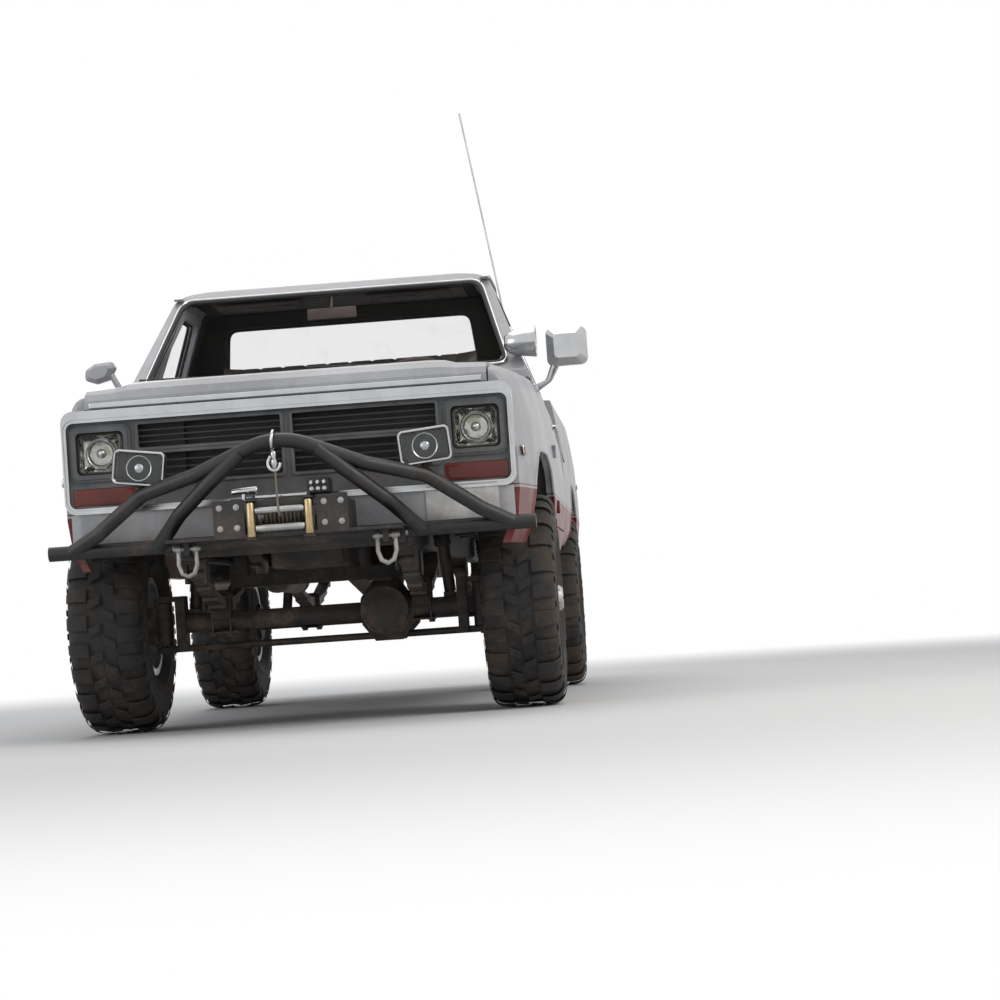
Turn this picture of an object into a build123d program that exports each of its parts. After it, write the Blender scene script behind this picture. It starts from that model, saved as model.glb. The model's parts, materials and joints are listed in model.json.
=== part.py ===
from build123d import *
import os
from math import cos, sin, radians, hypot

os.makedirs("parts", exist_ok=True)

# Millimetres. +X is the vehicle's left, -Y its nose, +Z up. In the numbers below Y counts back from
# the grille's face and Z up from the ground; save() moves all pieces to the row's frame.

# Wheelbase, track and running gear
AXLE_F = 745
AXLE_R = AXLE_F + 2921
TYRE_R = 444.5
HALF_TRACK = 855
AXLE_Z = TYRE_R
KINGPIN_X = HALF_TRACK - 175
KINGPIN_R = 14
RIM_R = 190.5
SPINDLE_R = 32
HUB_FACE = HALF_TRACK - 40
ROD_DY = 165
ROD_DZ = -105
FIT = 0.3
GAP = 6

# Body
HALF_W = 1000
SILL_Z = 675
FRONT_Z = 900
SURROUND_H = 414
SURROUND_X = HALF_W - 98
HOOD_X = HALF_W - 194
COWL_Y = 1330
WING_FRONT = 32
WING_END = 1492
WING_IN = HALF_W - 104
DRIP_X = HALF_W - 262
CAB_BACK = 2643
ROOF_Z = 2012
CAB_FLOOR = 900
BED_FRONT = CAB_BACK + 27
BED_BACK = 4618
TAIL_Y = 4668
BED_FLOOR = 985
RAIL_TOP = 1432
TAILGATE_Y = 4646
TAILGATE_Z = 983
TAILGATE_R = 22
SKIN = 30
WALL = 52
ARCH_R = 425
ARCH_FRONT = 475
ARCH_Z = 625
ARCH_TOP_F = 1065
ARCH_TOP_R = 1050

# Beyond the flank, and the inner end of a door's place
OUT_X = HALF_W + 100
DOOR_IN = HALF_W - 440

# Furthest points forward and back, for the row's origin
FAIR_Y = -357
ROLLER_R = 16
NOSE_Y = FAIR_Y - ROLLER_R
REAR_Y = 4842
MID_Y = (NOSE_Y + REAR_Y) / 2

# Hinges: the door's pin beside the skin, the hood's at the cowl
DOOR_PIN_X = HALF_W + 4
DOOR_PIN_Y = 1497
DOOR_PIN_Z = (860, 1110)
HOOD_PIN_Y = 1325
HOOD_PIN_Z = 1474
HOOD_PIN_X = 600

# Frame rails and springs
RAIL_X = 395
RAIL_W = 62
RAIL_Z0 = 690
RAIL_Z1 = 830
RAIL_FRONT = 30
RAIL_BACK = 4640
SPRING_X = RAIL_X + RAIL_W / 2
LEAF = 13


def box(x0, x1, y0, y1, z0, z1):
    return Pos((x0 + x1) / 2, (y0 + y1) / 2, (z0 + z1) / 2) * Box(abs(x1 - x0), abs(y1 - y0), abs(z1 - z0))


def sbox(s, x0, x1, y0, y1, z0, z1):
    """A box on the side s, its x counted outwards from the centre line."""
    return box(s * x0, s * x1, y0, y1, z0, z1)


def outline(rows, place):
    """Face from rows of two coordinates and, where its corner is rounded, a radius."""
    points = [place(*row[:2]) for row in rows]
    radii = [row[2] if len(row) > 2 else 0 for row in rows]
    if any(radii):
        return make_face(FilletPolyline(*points, radius=radii, close=True))
    return make_face(Polyline(*points, close=True))


def prism_x(rows, x0, x1):
    return extrude(outline(rows, lambda y, z: (min(x0, x1), y, z)), abs(x1 - x0), dir=(1, 0, 0))


def prism_y(rows, y0, y1):
    return extrude(outline(rows, lambda x, z: (x, y0, z)), y1 - y0, dir=(0, 1, 0))


def prism_z(rows, z0, z1):
    return extrude(outline(rows, lambda x, y: (x, y, z0)), z1 - z0, dir=(0, 0, 1))


def rod(a, b, r):
    a = Vector(*a)
    b = Vector(*b)
    return extrude(Plane(origin=a, z_dir=b - a) * Circle(r), (b - a).length)


def pipe(points, r):
    out = rod(points[0], points[1], r)
    for a, b in zip(points[1:-1], points[2:]):
        out += Pos(*a) * Sphere(r)
        out += rod(a, b, r)
    return out


def bent(points, r, bend):
    """Round bar along straight runs joined by arcs of the radius bend."""
    line = FilletPolyline(*points, radius=bend)
    return sweep(Plane(origin=line @ 0, z_dir=line % 0) * Circle(r), path=line)


def lathe_x(points, y, z):
    """Turned solid about a line along X through y, z; points are x and radius."""
    wire = Polyline(*[(x, y, z + r) for x, r in points], close=True)
    return revolve(make_face(wire), Axis((0, y, z), (1, 0, 0)), 360)


def add(parts):
    out = parts[0]
    for p in parts[1:]:
        out += p
    return out


def sym(rows):
    """A closed outline from its right half."""
    return rows + [(-row[0], *row[1:]) for row in reversed(rows)]


def inset(rows, d):
    """The closed outline moved inwards by d, with its corners kept and their radii fitted."""
    n = len(rows)
    points = [row[:2] for row in rows]
    area = sum(points[i][0] * points[(i + 1) % n][1] - points[(i + 1) % n][0] * points[i][1] for i in range(n))
    s = 1 if area > 0 else -1
    lines = []
    for i in range(n):
        (x0, y0), (x1, y1) = points[i], points[(i + 1) % n]
        length = hypot(x1 - x0, y1 - y0)
        lines.append((x0 - (y1 - y0) / length * s * d, y0 + (x1 - x0) / length * s * d, x1 - x0, y1 - y0))
    out = []
    for i in range(n):
        ax, ay, adx, ady = lines[i - 1]
        bx, by, bdx, bdy = lines[i]
        cross = adx * bdy - ady * bdx
        if abs(cross) < 1e-6:
            out.append((bx, by, 0))
            continue
        t = ((bx - ax) * bdy - (by - ay) * bdx) / cross
        r = rows[i][2] if len(rows[i]) > 2 else 0
        out.append((ax + adx * t, ay + ady * t, max(r - d, 1) if r else 0))
    return out


def stations(rows):
    """Ruled solid through closed outlines of x, z at each y."""
    return loft([outline(pts, lambda x, z: (x, y, z)) for y, pts in rows], ruled=True)


def save(shape, node):
    if isinstance(shape, (list, tuple)):
        solids = [s for p in shape for s in p.solids()]
    else:
        solids = list(shape.solids())
    moved = [Pos(0, -MID_Y, 0) * s for s in solids]
    export_step(moved[0] if len(moved) == 1 else Compound(children=moved), f"parts/{node}.step")
    print(node, len(moved), "solids", sum(len(s.faces()) for s in moved), "faces")


# Half section of the body's side, rocker to belt: x, z, corner radius
SIDE = [(HALF_W - 50, SILL_Z, 14), (HALF_W - 15, 760, 120), (HALF_W, 880, 0), (HALF_W, 1010, 0), (HALF_W - 15, 1190, 0),
        (HALF_W - 45, 1340, 150)]
CAB_HALF = SIDE + [(HALF_W - 260, 1950, 60), (HALF_W - 310, 1992, 110), (HALF_W - 440, ROOF_Z, 200)]
WING_HALF = SIDE + [(HALF_W - 78, 1420, 40), (HALF_W - 124, 1452, 50), (HOOD_X + GAP, 1462, 6)]
BED_HALF = [(HALF_W - 45, 720, 14), (HALF_W - 12, 790, 120), (HALF_W, 880, 0), (HALF_W, 1010, 0), (HALF_W - 10, 1190, 0),
            (HALF_W - 28, 1340, 150), (HALF_W - 45, RAIL_TOP, 12)]
BED_IN = HALF_W - 115
# Cab's side outline: y, z, corner radius
CAB_SIDE = [(COWL_Y, 600), (COWL_Y, 1478, 10), (1392, 1494), (1905, 1975, 110), (2010, ROOF_Z + 2, 240), (2420, ROOF_Z + 2, 200),
            (2535, 1985, 60), (CAB_BACK, 1440, 60), (CAB_BACK, 600)]
# Door: outline and window seen from the side: y, z, corner radius
DOOR_Y0 = 1500
DOOR_Y1 = 2470
DOOR_MID = (DOOR_Y0 + DOOR_Y1) / 2
DOOR_Z0 = 775
DOOR_Z1 = 1942
DOOR = [(DOOR_Y0, DOOR_Z0, 40), (DOOR_Y0, 1462, 20), (1918, DOOR_Z1, 60), (DOOR_Y1, DOOR_Z1, 60), (DOOR_Y1, DOOR_Z0, 40)]
WINDOW = [(1612, 1462, 22), (1958, 1888, 60), (2318, 1888, 50), (2388, 1462, 30)]
# Bar of the vent window: y, z
VENT_BAR = [(1768, 1440), (1792, 1440), (1838, 1780), (1814, 1780)]
TAPER = 0.34
# Windscreen and rear window openings seen from the front: half x, z, corner radius
SCREEN = [(HALF_W - 182, 1522, 50), (HALF_W - 310, 1938, 60)]
REAR_WIN = [(HALF_W - 360, 1500, 50), (HALF_W - 400, 1880, 50)]


def arch(y_axle, x0, x1, r, top):
    """Wheel opening with rounded shoulders, up to the height top."""
    half = [(r, SILL_Z - 90), (r, ARCH_Z + 150, 150), (r * 0.8, top - 80, 140), (r * 0.42, top, 170)]
    return prism_x([(y_axle + row[0], *row[1:]) for row in sym(half)], x0, x1)


# Chassis
def make_frame():
    parts = []
    for s in (-1, 1):
        rail = sbox(s, RAIL_X, RAIL_X + RAIL_W, RAIL_FRONT, RAIL_BACK, RAIL_Z0, RAIL_Z1)
        parts.append(rail - sbox(s, RAIL_X - 20, RAIL_X + RAIL_W - 12, 130, 4480, RAIL_Z0 + 12, RAIL_Z1 - 12))
    # cross members: y, depth, z low, z high
    for y, d, z0, z1 in [(85, 90, 700, 820), (1010, 110, 585, ENGINE_Z), (1940, 90, RAIL_Z0, 770), (2960, 70, 710, 800),
                         (4540, 80, 700, 820)]:
        reach = RAIL_X + (RAIL_W - 8 if z0 > 600 else 20)
        parts.append(box(-reach, reach, y - d / 2, y + d / 2, z0, z1))
    for s in (-1, 1):
        parts.append(sbox(s, 340, RAIL_X + 20, 960, 1060, 585, 720))
        # fixed spring hangers: y, and the shock absorbers' towers: y, z top
        for y in (AXLE_F - 560, AXLE_R - 700):
            hanger = sbox(s, SPRING_X - 44, SPRING_X + 44, y - 45, y + 45, RAIL_Z0 - 90, RAIL_Z0 + 5)
            parts.append(hanger - sbox(s, SPRING_X - 34, SPRING_X + 34, y - 60, y + 60, RAIL_Z0 - 91, RAIL_Z0 - 12))
        for y, z in SHOCK_HEADS:
            parts.append(sbox(s, RAIL_X + 40, RAIL_X + RAIL_W + 12, y - 40, y + 40, 710, z + 14))
            parts.append(sbox(s, RAIL_X + RAIL_W, 540, y - 40, y + 40, z, z + 14))
        # body mounts: y, underside of the body
        for y, z in [(1480, CAB_FLOOR), (2500, CAB_FLOOR), (2860, BED_FLOOR - SKIN), (4380, BED_FLOOR - SKIN)]:
            parts.append(sbox(s, RAIL_X + 20, 560, y - 35, y + 35, RAIL_Z1 - 40, RAIL_Z1 - 8))
            parts.append(rod((s * 515, y, RAIL_Z1 - 20), (s * 515, y, z), 34))
    return add(parts)


SHOCK_DY = 55
ENGINE_Z = 640
# Heads of the shock absorbers: y, z
SHOCK_HEADS = [(AXLE_F + SHOCK_DY, 930), (AXLE_R - SHOCK_DY, 800)]


def leaf_pack(s, y, front, rear, rise, pad):
    """One leaf spring with its eyes and shackle, clamped on the axle's pad."""
    parts = []
    for level, share in enumerate((0.3, 0.52, 0.76, 1.0)):
        z = pad + level * LEAF
        top = []
        low = []
        for t in (-1, -0.6, -0.25, 0.25, 0.6, 1):
            reach = (front if t < 0 else rear) * share * t
            up = rise * (share * abs(t)) ** 2
            top.append((y + reach, z + up + LEAF + 0.2))
            low.append((y + reach, z + up))
        parts.append(prism_x(top + low[::-1], s * SPRING_X - 32, s * SPRING_X + 32))
    eye_z = pad + 3 * LEAF + rise + 7
    for ye, z_top in ((y - front, RAIL_Z0 - 12), (y + rear, RAIL_Z0)):
        parts.append(rod((s * SPRING_X - 32, ye, eye_z), (s * SPRING_X + 32, ye, eye_z), 24))
        parts.append(box(s * SPRING_X - 32, s * SPRING_X + 32, ye - 14, ye + 14, eye_z, z_top))
    # clamp plates and bolts over the axle
    parts.append(box(s * SPRING_X - 32, s * SPRING_X + 32, y - 55, y + 55, pad, pad + 4 * LEAF + 12))
    return add(parts)


PAD_F = AXLE_Z + 46
PAD_R = AXLE_Z + 52


def make_suspension():
    out = []
    for s in (-1, 1):
        out.append(leaf_pack(s, AXLE_F, 560, 600, 100, PAD_F))
        out.append(leaf_pack(s, AXLE_R, 700, 640, 94, PAD_R))
        for y, z in SHOCK_HEADS:
            foot = (s * 545, y, AXLE_Z + 60)
            head = (s * 505, y, z)
            mid = (s * 527, y, (foot[2] + z) / 2)
            out.append((rod(foot, mid, 25) + rod(mid, head, 32)) & box(-700, 700, y - 60, y + 60, foot[2], z))
    return out


DIFF_X = 280


def front_nose(grow):
    """Pinion housing of the front differential, facing back."""
    return rod((DIFF_X, AXLE_F + 40, AXLE_Z + 5), (DIFF_X, AXLE_F + 250 + grow, AXLE_Z + 40), 58 + grow)


def rear_nose(grow):
    return rod((0, AXLE_R - 60, AXLE_Z + 10), (0, AXLE_R - 250 - grow, AXLE_Z + 30), 60 + grow)


def make_front_axle():
    z = AXLE_Z
    end = KINGPIN_X - 62
    parts = [rod((-end, AXLE_F, z), (end, AXLE_F, z), 40)]
    # differential, towards the vehicle's left
    parts.append(lathe_x([(170, 0), (170, 60), (222, 128), (338, 128), (386, 56), (386, 0)], AXLE_F, z))
    parts.append(rod((DIFF_X, AXLE_F - 150, z), (DIFF_X, AXLE_F + 20, z), 100))
    parts.append(front_nose(0))
    for s in (-1, 1):
        parts.append(sbox(s, SPRING_X - 40, SPRING_X + 40, AXLE_F - 60, AXLE_F + 60, z + 10, PAD_F))
        parts.append(sbox(s, 520, 570, AXLE_F, AXLE_F + SHOCK_DY + 25, z, z + 60))
        parts.append(sbox(s, end - 40, end, AXLE_F - 50, AXLE_F + 50, z - 118, z + 118))
        for z0, z1 in ((z - 118, z - 96), (z + 96, z + 118)):
            arm = sbox(s, end - 2, KINGPIN_X, AXLE_F - 34, AXLE_F + 34, z0, z1)
            arm += rod((s * KINGPIN_X, AXLE_F, z0), (s * KINGPIN_X, AXLE_F, z1), 34)
            parts.append(arm - rod((s * KINGPIN_X, AXLE_F, z0 - 9), (s * KINGPIN_X, AXLE_F, z1 + 9), KINGPIN_R + FIT))
    return add(parts)


def make_rear_axle():
    z = AXLE_Z
    end = HALF_TRACK - 150
    parts = [rod((-end, AXLE_R, z), (end, AXLE_R, z), 45)]
    parts.append(lathe_x([(-150, 0), (-150, 62), (-72, 142), (72, 142), (150, 62), (150, 0)], AXLE_R, z))
    parts.append(rod((0, AXLE_R, z), (0, AXLE_R + 165, z), 122))
    parts.append(rear_nose(0))
    for s in (-1, 1):
        parts.append(sbox(s, SPRING_X - 42, SPRING_X + 42, AXLE_R - 70, AXLE_R + 70, z + 10, PAD_R))
        parts.append(sbox(s, 520, 570, AXLE_R - SHOCK_DY - 25, AXLE_R, z, z + 60))
        parts.append(rod((s * (end - 15), AXLE_R, z), (s * (end + 7), AXLE_R, z), 92))
        parts.append(rod((s * (end - 5), AXLE_R, z), (s * (HUB_FACE + 70), AXLE_R, z), SPINDLE_R))
    return add(parts)


def make_knuckle(s):
    z = AXLE_Z
    x = KINGPIN_X
    y = AXLE_F + ROD_DY
    parts = [rod((s * x, AXLE_F, z - 125), (s * x, AXLE_F, z + 125), KINGPIN_R)]
    parts.append(rod((s * x, AXLE_F, z - 90), (s * x, AXLE_F, z + 90), 38))
    parts.append(sbox(s, x, x + 60, AXLE_F - 32, AXLE_F + 32, z - 80, z + 80))
    parts.append(rod((s * (x + 40), AXLE_F, z), (s * (x + 74), AXLE_F, z), 80))
    parts.append(rod((s * (x + 40), AXLE_F, z), (s * (HUB_FACE + 70), AXLE_F, z), SPINDLE_R))
    parts.append(sbox(s, x - 20, x + 20, AXLE_F, y, z - 86, z - 64))
    parts.append(rod((s * x, y, z - 86), (s * x, y, z - 64), 22))
    parts.append(rod((s * x, y, z + ROD_DZ - 20), (s * x, y, z - 64), 9))
    return add(parts)


def make_tie_rod():
    z = AXLE_Z + ROD_DZ
    y = AXLE_F + ROD_DY
    out = rod((-KINGPIN_X, y, z), (KINGPIN_X, y, z), 15)
    for s in (-1, 1):
        out += rod((s * KINGPIN_X, y, z - 17), (s * KINGPIN_X, y, z + 17), 22)
    for s in (-1, 1):
        out -= rod((s * KINGPIN_X, y, z - 40), (s * KINGPIN_X, y, z + 40), 9 + FIT)
    return out


# Hubs' outer ends, across from the wheel's middle
HUB_END_F = 167
HUB_END_R = 130
# Carcass and bead cut-outs as many-sided drums: across, radius
CARCASS = [(-157, 370), (-136, 427), (136, 427), (157, 370)]
BEAD = [(111, 213), (161, 305)]
SIDES = 24
LUGS = 16
LUG_HALF = 37
# One lug, from the tread's middle over the shoulder: across, radius
LUG = [(14, 418), (14, TYRE_R), (122, TYRE_R), (159, 402), (159, 356), (136, 412)]


def drum(rows, inside=False):
    """Many-sided drum on the wheel's axis through rows of across and radius."""
    k = 1 / cos(radians(180 / SIDES)) if inside else 1
    turns = [radians(360 * (i + 0.5) / SIDES) for i in range(SIDES)]
    rings = [[(x, r * k * sin(a), r * k * cos(a)) for a in turns] for x, r in rows]
    faces = [make_face(Polyline(*ends, close=True)) for ends in (rings[0], rings[-1])]
    for low, high in zip(rings, rings[1:]):
        faces += [make_face(Polyline(low[i - 1], low[i], high[i], high[i - 1], close=True)) for i in range(SIDES)]
    return Solid(Shell(faces))


def make_tyre():
    out = drum(CARCASS) - drum([(-200, RIM_R + FIT), (200, RIM_R + FIT)], inside=True)
    for s in (-1, 1):
        out -= drum([(s * x, r) for x, r in BEAD], inside=True)
    for s in (-1, 1):
        block = extrude(make_face(Polyline(*[(s * x, -LUG_HALF, -r) for x, r in LUG], close=True)), 2 * LUG_HALF, dir=(0, 1, 0))
        for k in range(LUGS):
            out += Rot(360 / LUGS * (k + (0 if s > 0 else 0.5)), 0, 0) * block
    return out


# Rim profile from the inboard lip: across, outboard positive, and radius
RIM = [(-133, 182), (-133, 209), (-113, 209), (-113, RIM_R), (-70, RIM_R), (-58, 172), (58, 172), (70, RIM_R),
       (113, RIM_R), (113, 209), (133, 209), (133, 198), (118, 182), (74, 180), (62, 163), (-62, 163), (-74, 180)]


def ring(points, s, y):
    wire = Polyline(*[((HALF_TRACK + a) * s, y, AXLE_Z + r) for a, r in points], close=True)
    return revolve(make_face(wire), Axis((0, y, AXLE_Z), (1, 0, 0)), 360)


def make_rim(s, y):
    face = HUB_FACE - HALF_TRACK
    end = HUB_END_F if y == AXLE_F else HUB_END_R
    out = ring(RIM, s, y)
    out += ring([(face, 60), (face, 166), (face + 12, 166), (face + 12, 60)], s, y)
    for k in range(8):
        a = radians(45 * k + 22.5)
        at = (y + 124 * sin(a), AXLE_Z + 124 * cos(a))
        out -= rod((s * (HUB_FACE - 3), *at), (s * (HUB_FACE + 30), *at), 27)
    # hub and brake drum: across, radius
    hub = [(face - 42, SPINDLE_R + FIT), (face - 42, 90), (face - 12, 90), (face - 12, 80), (face + 34, 80), (face + 38, 58),
           (end - 16, 54), (end, 44), (end, 0), (face + 74, 0), (face + 74, SPINDLE_R + FIT)]
    return out + ring(hub, s, y)


# Body
def cab_section(d):
    return prism_y(inset(sym(CAB_HALF), d), 1100, 2800)


def cab_solid(d):
    return cab_section(d) & prism_x(inset(CAB_SIDE, d), -OUT_X, OUT_X)


def door_zone(s, grow):
    """The door's place, drawn in towards the middle so that it swings clear of the rear post."""
    faces = []
    for x in (DOOR_IN, OUT_X):
        rows = [(y + (TAPER * (x - HALF_W) if y > DOOR_MID else 0), z, r) for y, z, r in inset(DOOR, -grow)]
        faces.append(outline(rows, lambda y, z: (s * x, y, z)))
    return loft(faces, ruled=True)


def window_y(half, y0, y1):
    """Prism through a window from the rows of its half outline."""
    return prism_y(sym(half), y0, y1)


def make_cab():
    shell = cab_solid(0)
    shell -= cab_solid(WALL) & box(-OUT_X, OUT_X, 1000, 3000, CAB_FLOOR + SKIN, 2100)
    shell -= box(110 - HALF_W, HALF_W - 110, 1000, 3000, 500, CAB_FLOOR)
    shell -= window_y(SCREEN, 1240, 2050)
    shell -= window_y(REAR_WIN, 2400, 2800)
    # the wings' rear ends lap over the hinge posts
    lap = box(-1200, 1200, 1300, WING_END + FIT, 500, 1439) - box(-WING_IN + FIT, WING_IN - FIT, 1200, 1600, 0, 2000)
    shell -= lap - prism_y(inset(sym(WING_HALF), SKIN + FIT), 1200, 1600)
    doors = []
    for s in (1, -1):
        wall = cab_solid(0) - cab_section(WALL)
        pane = prism_x(WINDOW, s * DOOR_IN, s * OUT_X) - prism_x(VENT_BAR, s * DOOR_IN, s * OUT_X)
        doors.append((wall & door_zone(s, 0)) - pane)
        shell -= door_zone(s, GAP) - cab_section(WALL + GAP)
        # drip rail over the door: its rows are y, z
        rail = prism_x([(1860, 1956), (2004, 1976), (2430, 1976), (2520, 1950), (2520, 1960), (2430, 1988), (1998, 1988),
                        (1852, 1966)], s * (DRIP_X - 40), s * DRIP_X)
        shell += rail
    for k, s in enumerate((1, -1)):
        x, y = s * DOOR_PIN_X, DOOR_PIN_Y
        for z in DOOR_PIN_Z:
            shell -= rod((x, y, z - 0.5), (x, y, z + 27), 6.5)
            leaf = sbox(s, HALF_W - 65, DOOR_PIN_X, y - 2.5, y + 1.5, z - 32, z - 1)
            leaf += sbox(s, HALF_W - 65, HALF_W - 44, y - 15, y + 1, z - 32, z - 1)
            shell += leaf + rod((x, y, z - 32), (x, y, z - 1), 5.5) + rod((x, y, z - 2), (x, y, z + 26), 3)
            doors[k] += rod((x, y, z), (x, y, z + 26), 5.5) + sbox(s, HALF_W - 10, DOOR_PIN_X, y + 2, y + 12, z, z + 26)
            doors[k] -= rod((x, y, z - 1), (x, y, z + 30), 3 + FIT)
            doors[k] -= rod((x, y, z - 34), (x, y, z - 0.5), 7)
        # hood hinge: the pin between two ears
        x0, x1 = HOOD_PIN_X, HOOD_PIN_X + 40
        shell -= rod((s * x0, HOOD_PIN_Y, HOOD_PIN_Z), (s * x1, HOOD_PIN_Y, HOOD_PIN_Z), 9)
        for a in (x0 - 10, x1):
            shell += sbox(s, a, a + 10, HOOD_PIN_Y - 6, COWL_Y + 10, HOOD_PIN_Z - 9, HOOD_PIN_Z + 5)
        shell += rod((s * (x0 - 5), HOOD_PIN_Y, HOOD_PIN_Z), (s * (x1 + 5), HOOD_PIN_Y, HOOD_PIN_Z), 3)
    return shell, doors


def wing_station(y, narrow, drop):
    """Outline of the right-hand wing at y: narrow draws the flank in, drop lowers the top."""
    take_x = [1, 1, 1, 1, 1, 0.85, 0.62, 0.36, 0]
    take_z = [0, 0, 0, 0, 0.3, 0.8, 1, 1, 1]
    outer = [(x - narrow * a, z - drop * b, r) for (x, z, r), a, b in zip(WING_HALF, take_x, take_z)]
    inner = inset(sym(outer), SKIN)[:len(outer)]
    (x0, z0), (x1, z1) = outer[0][:2], outer[1][:2]
    t = (inner[1][1] - SILL_Z) / (z1 - z0)
    inner[0] = (inner[1][0] - (x1 - x0) * t, SILL_Z)
    inner[-1] = (outer[-1][0], outer[-1][1] - SKIN)
    outer[0] = outer[0][:2]
    outer[-1] = outer[-1][:2]
    return y, outer + inner[::-1]


APRON_X = HALF_W - 440
# Wing stations: y, flank drawn in, top lowered
WING = [(WING_FRONT, 92, 136), (190, 62, 118), (380, 34, 98), (760, 10, 58), (COWL_Y - GAP, 0, 0), (WING_END, 0, 0)]


def make_wings():
    one = stations([wing_station(*row) for row in WING])
    one -= arch(AXLE_F, 600, OUT_X, ARCH_FRONT, ARCH_TOP_F)
    one -= box(600, WING_IN, COWL_Y - GAP, 1600, 500, 1700)
    for z in DOOR_PIN_Z:
        one -= rod((DOOR_PIN_X, DOOR_PIN_Y, z - 34), (DOOR_PIN_X, DOOR_PIN_Y, z + 28), 7.5)
    # apron and shelf beside the engine: y, z
    one += prism_x([(100, 900), (1230, 900), (1230, 1396), (100, 1292)], APRON_X, APRON_X + 14)
    one += prism_x([(100, 1286), (1230, 1392), (1230, 1406), (100, 1300)], APRON_X, HALF_W - 150)
    return [one, mirror(one, about=Plane.YZ)]


# Hood stations: y, edge z, crown, thickness
HOOD_BACK = 1317
HOOD = [(6, 1352, 6, 30), (26, 1378, 12, 40), (66, 1396, 20, 30), (130, 1404, 24, 28), (HOOD_BACK, 1484, 24, 28)]
HOOD_LIP = FRONT_Z + SURROUND_H + GAP


def make_hood():
    out = stations([(row[0], hood_outline(*row)) for row in HOOD])
    # the nose turns down to the grille
    out += box(-HOOD_X, HOOD_X, HOOD[0][0], 34, HOOD_LIP, HOOD[0][1] + 2)
    # bright bar across the nose
    bar = prism_x([(-4, HOOD_LIP + 4, 4), (HOOD[0][0] + 3, HOOD_LIP + 4), (HOOD[0][0] + 3, HOOD_LIP + 22), (-4, HOOD_LIP + 22, 4)],
                  20 - HOOD_X, HOOD_X - 20)
    out += bar
    for s in (-1, 1):
        x0, x1 = s * (HOOD_PIN_X + 4), s * (HOOD_PIN_X + 36)
        out += rod((x0, HOOD_PIN_Y, HOOD_PIN_Z), (x1, HOOD_PIN_Y, HOOD_PIN_Z), 7)
        out += box(x0, x1, HOOD_BACK - 40, HOOD_BACK + 2, HOOD_PIN_Z - 6, HOOD_PIN_Z + 16)
        out -= rod((x0 - s, HOOD_PIN_Y, HOOD_PIN_Z), (x1 + s, HOOD_PIN_Y, HOOD_PIN_Z), 3 + FIT)
    return out


def hood_outline(y, z, crown, thick):
    half = [(HOOD_X, 0), (HOOD_X - 122, 0.3), (HOOD_X - 168, 0.85), (HOOD_X - 240, 1)]
    xs = half + [(-x, k) for x, k in reversed(half)]
    top = [(x, z + crown * k) for x, k in xs]
    return top + [(x, h - thick) for x, h in top[::-1]]


def make_surround():
    z = FRONT_Z + SURROUND_H / 2
    face = Pos(0, 0, z) * Rot(90, 0, 0) * (RectangleRounded(2 * SURROUND_X, SURROUND_H, 48))
    ring_out = extrude(face, 22, dir=(0, -1, 0)) + extrude(face, WING_FRONT - FIT, dir=(0, 1, 0))
    # a groove between the outer rim and the inner one
    groove = opening(14, -30, -12) - opening(6, -30, -12)
    return ring_out - opening(0, -60, 60) - groove


# Opening in the surround: half width, z low, z high, corner radius
MOUTH = (HALF_W - 118, 924, 1266, 30)


def opening(grow, y0, y1):
    half, z0, z1, r = MOUTH
    shape = Pos(0, y0, (z0 + z1) / 2) * Rot(90, 0, 0) * RectangleRounded(2 * (half + grow), z1 - z0 + 2 * grow, r + grow)
    return extrude(shape, y1 - y0, dir=(0, 1, 0))


# Grille openings and lamps: x low, x high, z low, z high
OPENINGS = [(24, HALF_W - 404, 1152, 1246), (24, HALF_W - 404, 1012, 1126)]
HEADLAMP = (HALF_W - 345, HALF_W - 152, 1056, 1226)
TURN = (HALF_W - 384, HALF_W - 128, 932, 1002)


def rounded_y(s, x0, x1, z0, z1, r, y0, y1):
    """Rounded rectangle on the side s, standing across the truck from y0 to y1."""
    shape = Pos(s * (x0 + x1) / 2, y0, (z0 + z1) / 2) * Rot(90, 0, 0) * RectangleRounded(x1 - x0, z1 - z0, r)
    return extrude(shape, y1 - y0, dir=(0, 1, 0))


def make_grille():
    out = opening(-FIT, 0, 30)
    # stays to the radiator's frame
    out += box(-780, 780, 28, SUPPORT_Y, 1252, 1262)
    for s in (-1, 1):
        for x0, x1, z0, z1 in OPENINGS:
            # raised frame round each opening
            out += rounded_y(s, x0 - 12, x1 + 12, z0 - 12, z1 + 12, 14, -6, 4)
        # stepped bezel round the headlamp
        hx0, hx1, hz0, hz1 = HEADLAMP
        for grow, depth in ((27, 9), (17, 14)):
            out += rounded_y(s, hx0 - grow, hx1 + min(grow, 25), hz0 - grow, hz1 + grow, 22 + grow / 2, -depth, 4)
    for s in (-1, 1):
        out -= rounded_y(s, *HEADLAMP, 22, -20, 40)
        out -= rounded_y(s, *TURN, 8, -20, 40)
        for x0, x1, z0, z1 in OPENINGS:
            out -= rounded_y(s, x0, x1, z0, z1, 8, -20, 40)
    for s in (-1, 1):
        for x0, x1, z0, z1 in OPENINGS:
            step = (z1 - z0) / 4
            for k in (1, 2, 3):
                out += sbox(s, x0 - 2, x1 + 2, 12, 28, z0 + k * step - 3, z0 + k * step + 3)
    return out


def make_lamps():
    out = []
    for s in (-1, 1):
        out.append(rounded_y(s, *HEADLAMP, 22, 0, 30))
        out.append(rounded_y(s, *TURN, 8, -4, 26))
    return out


SUPPORT_Y = 60


def make_support():
    reach = HALF_W - 220
    out = box(-reach, reach, SUPPORT_Y, 100, 880, 1286) - box(-420, 420, 40, 120, 960, 1250)
    out += box(-440, 440, 92, 160, 880, 1270)
    for s in (-1, 1):
        out += sbox(s, SPRING_X - 25, SPRING_X + 25, SUPPORT_Y, 160, RAIL_Z1, 920)
        out -= sbox(s, 600, 740, 40, 120, 1040, 1240)
    return out


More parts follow.
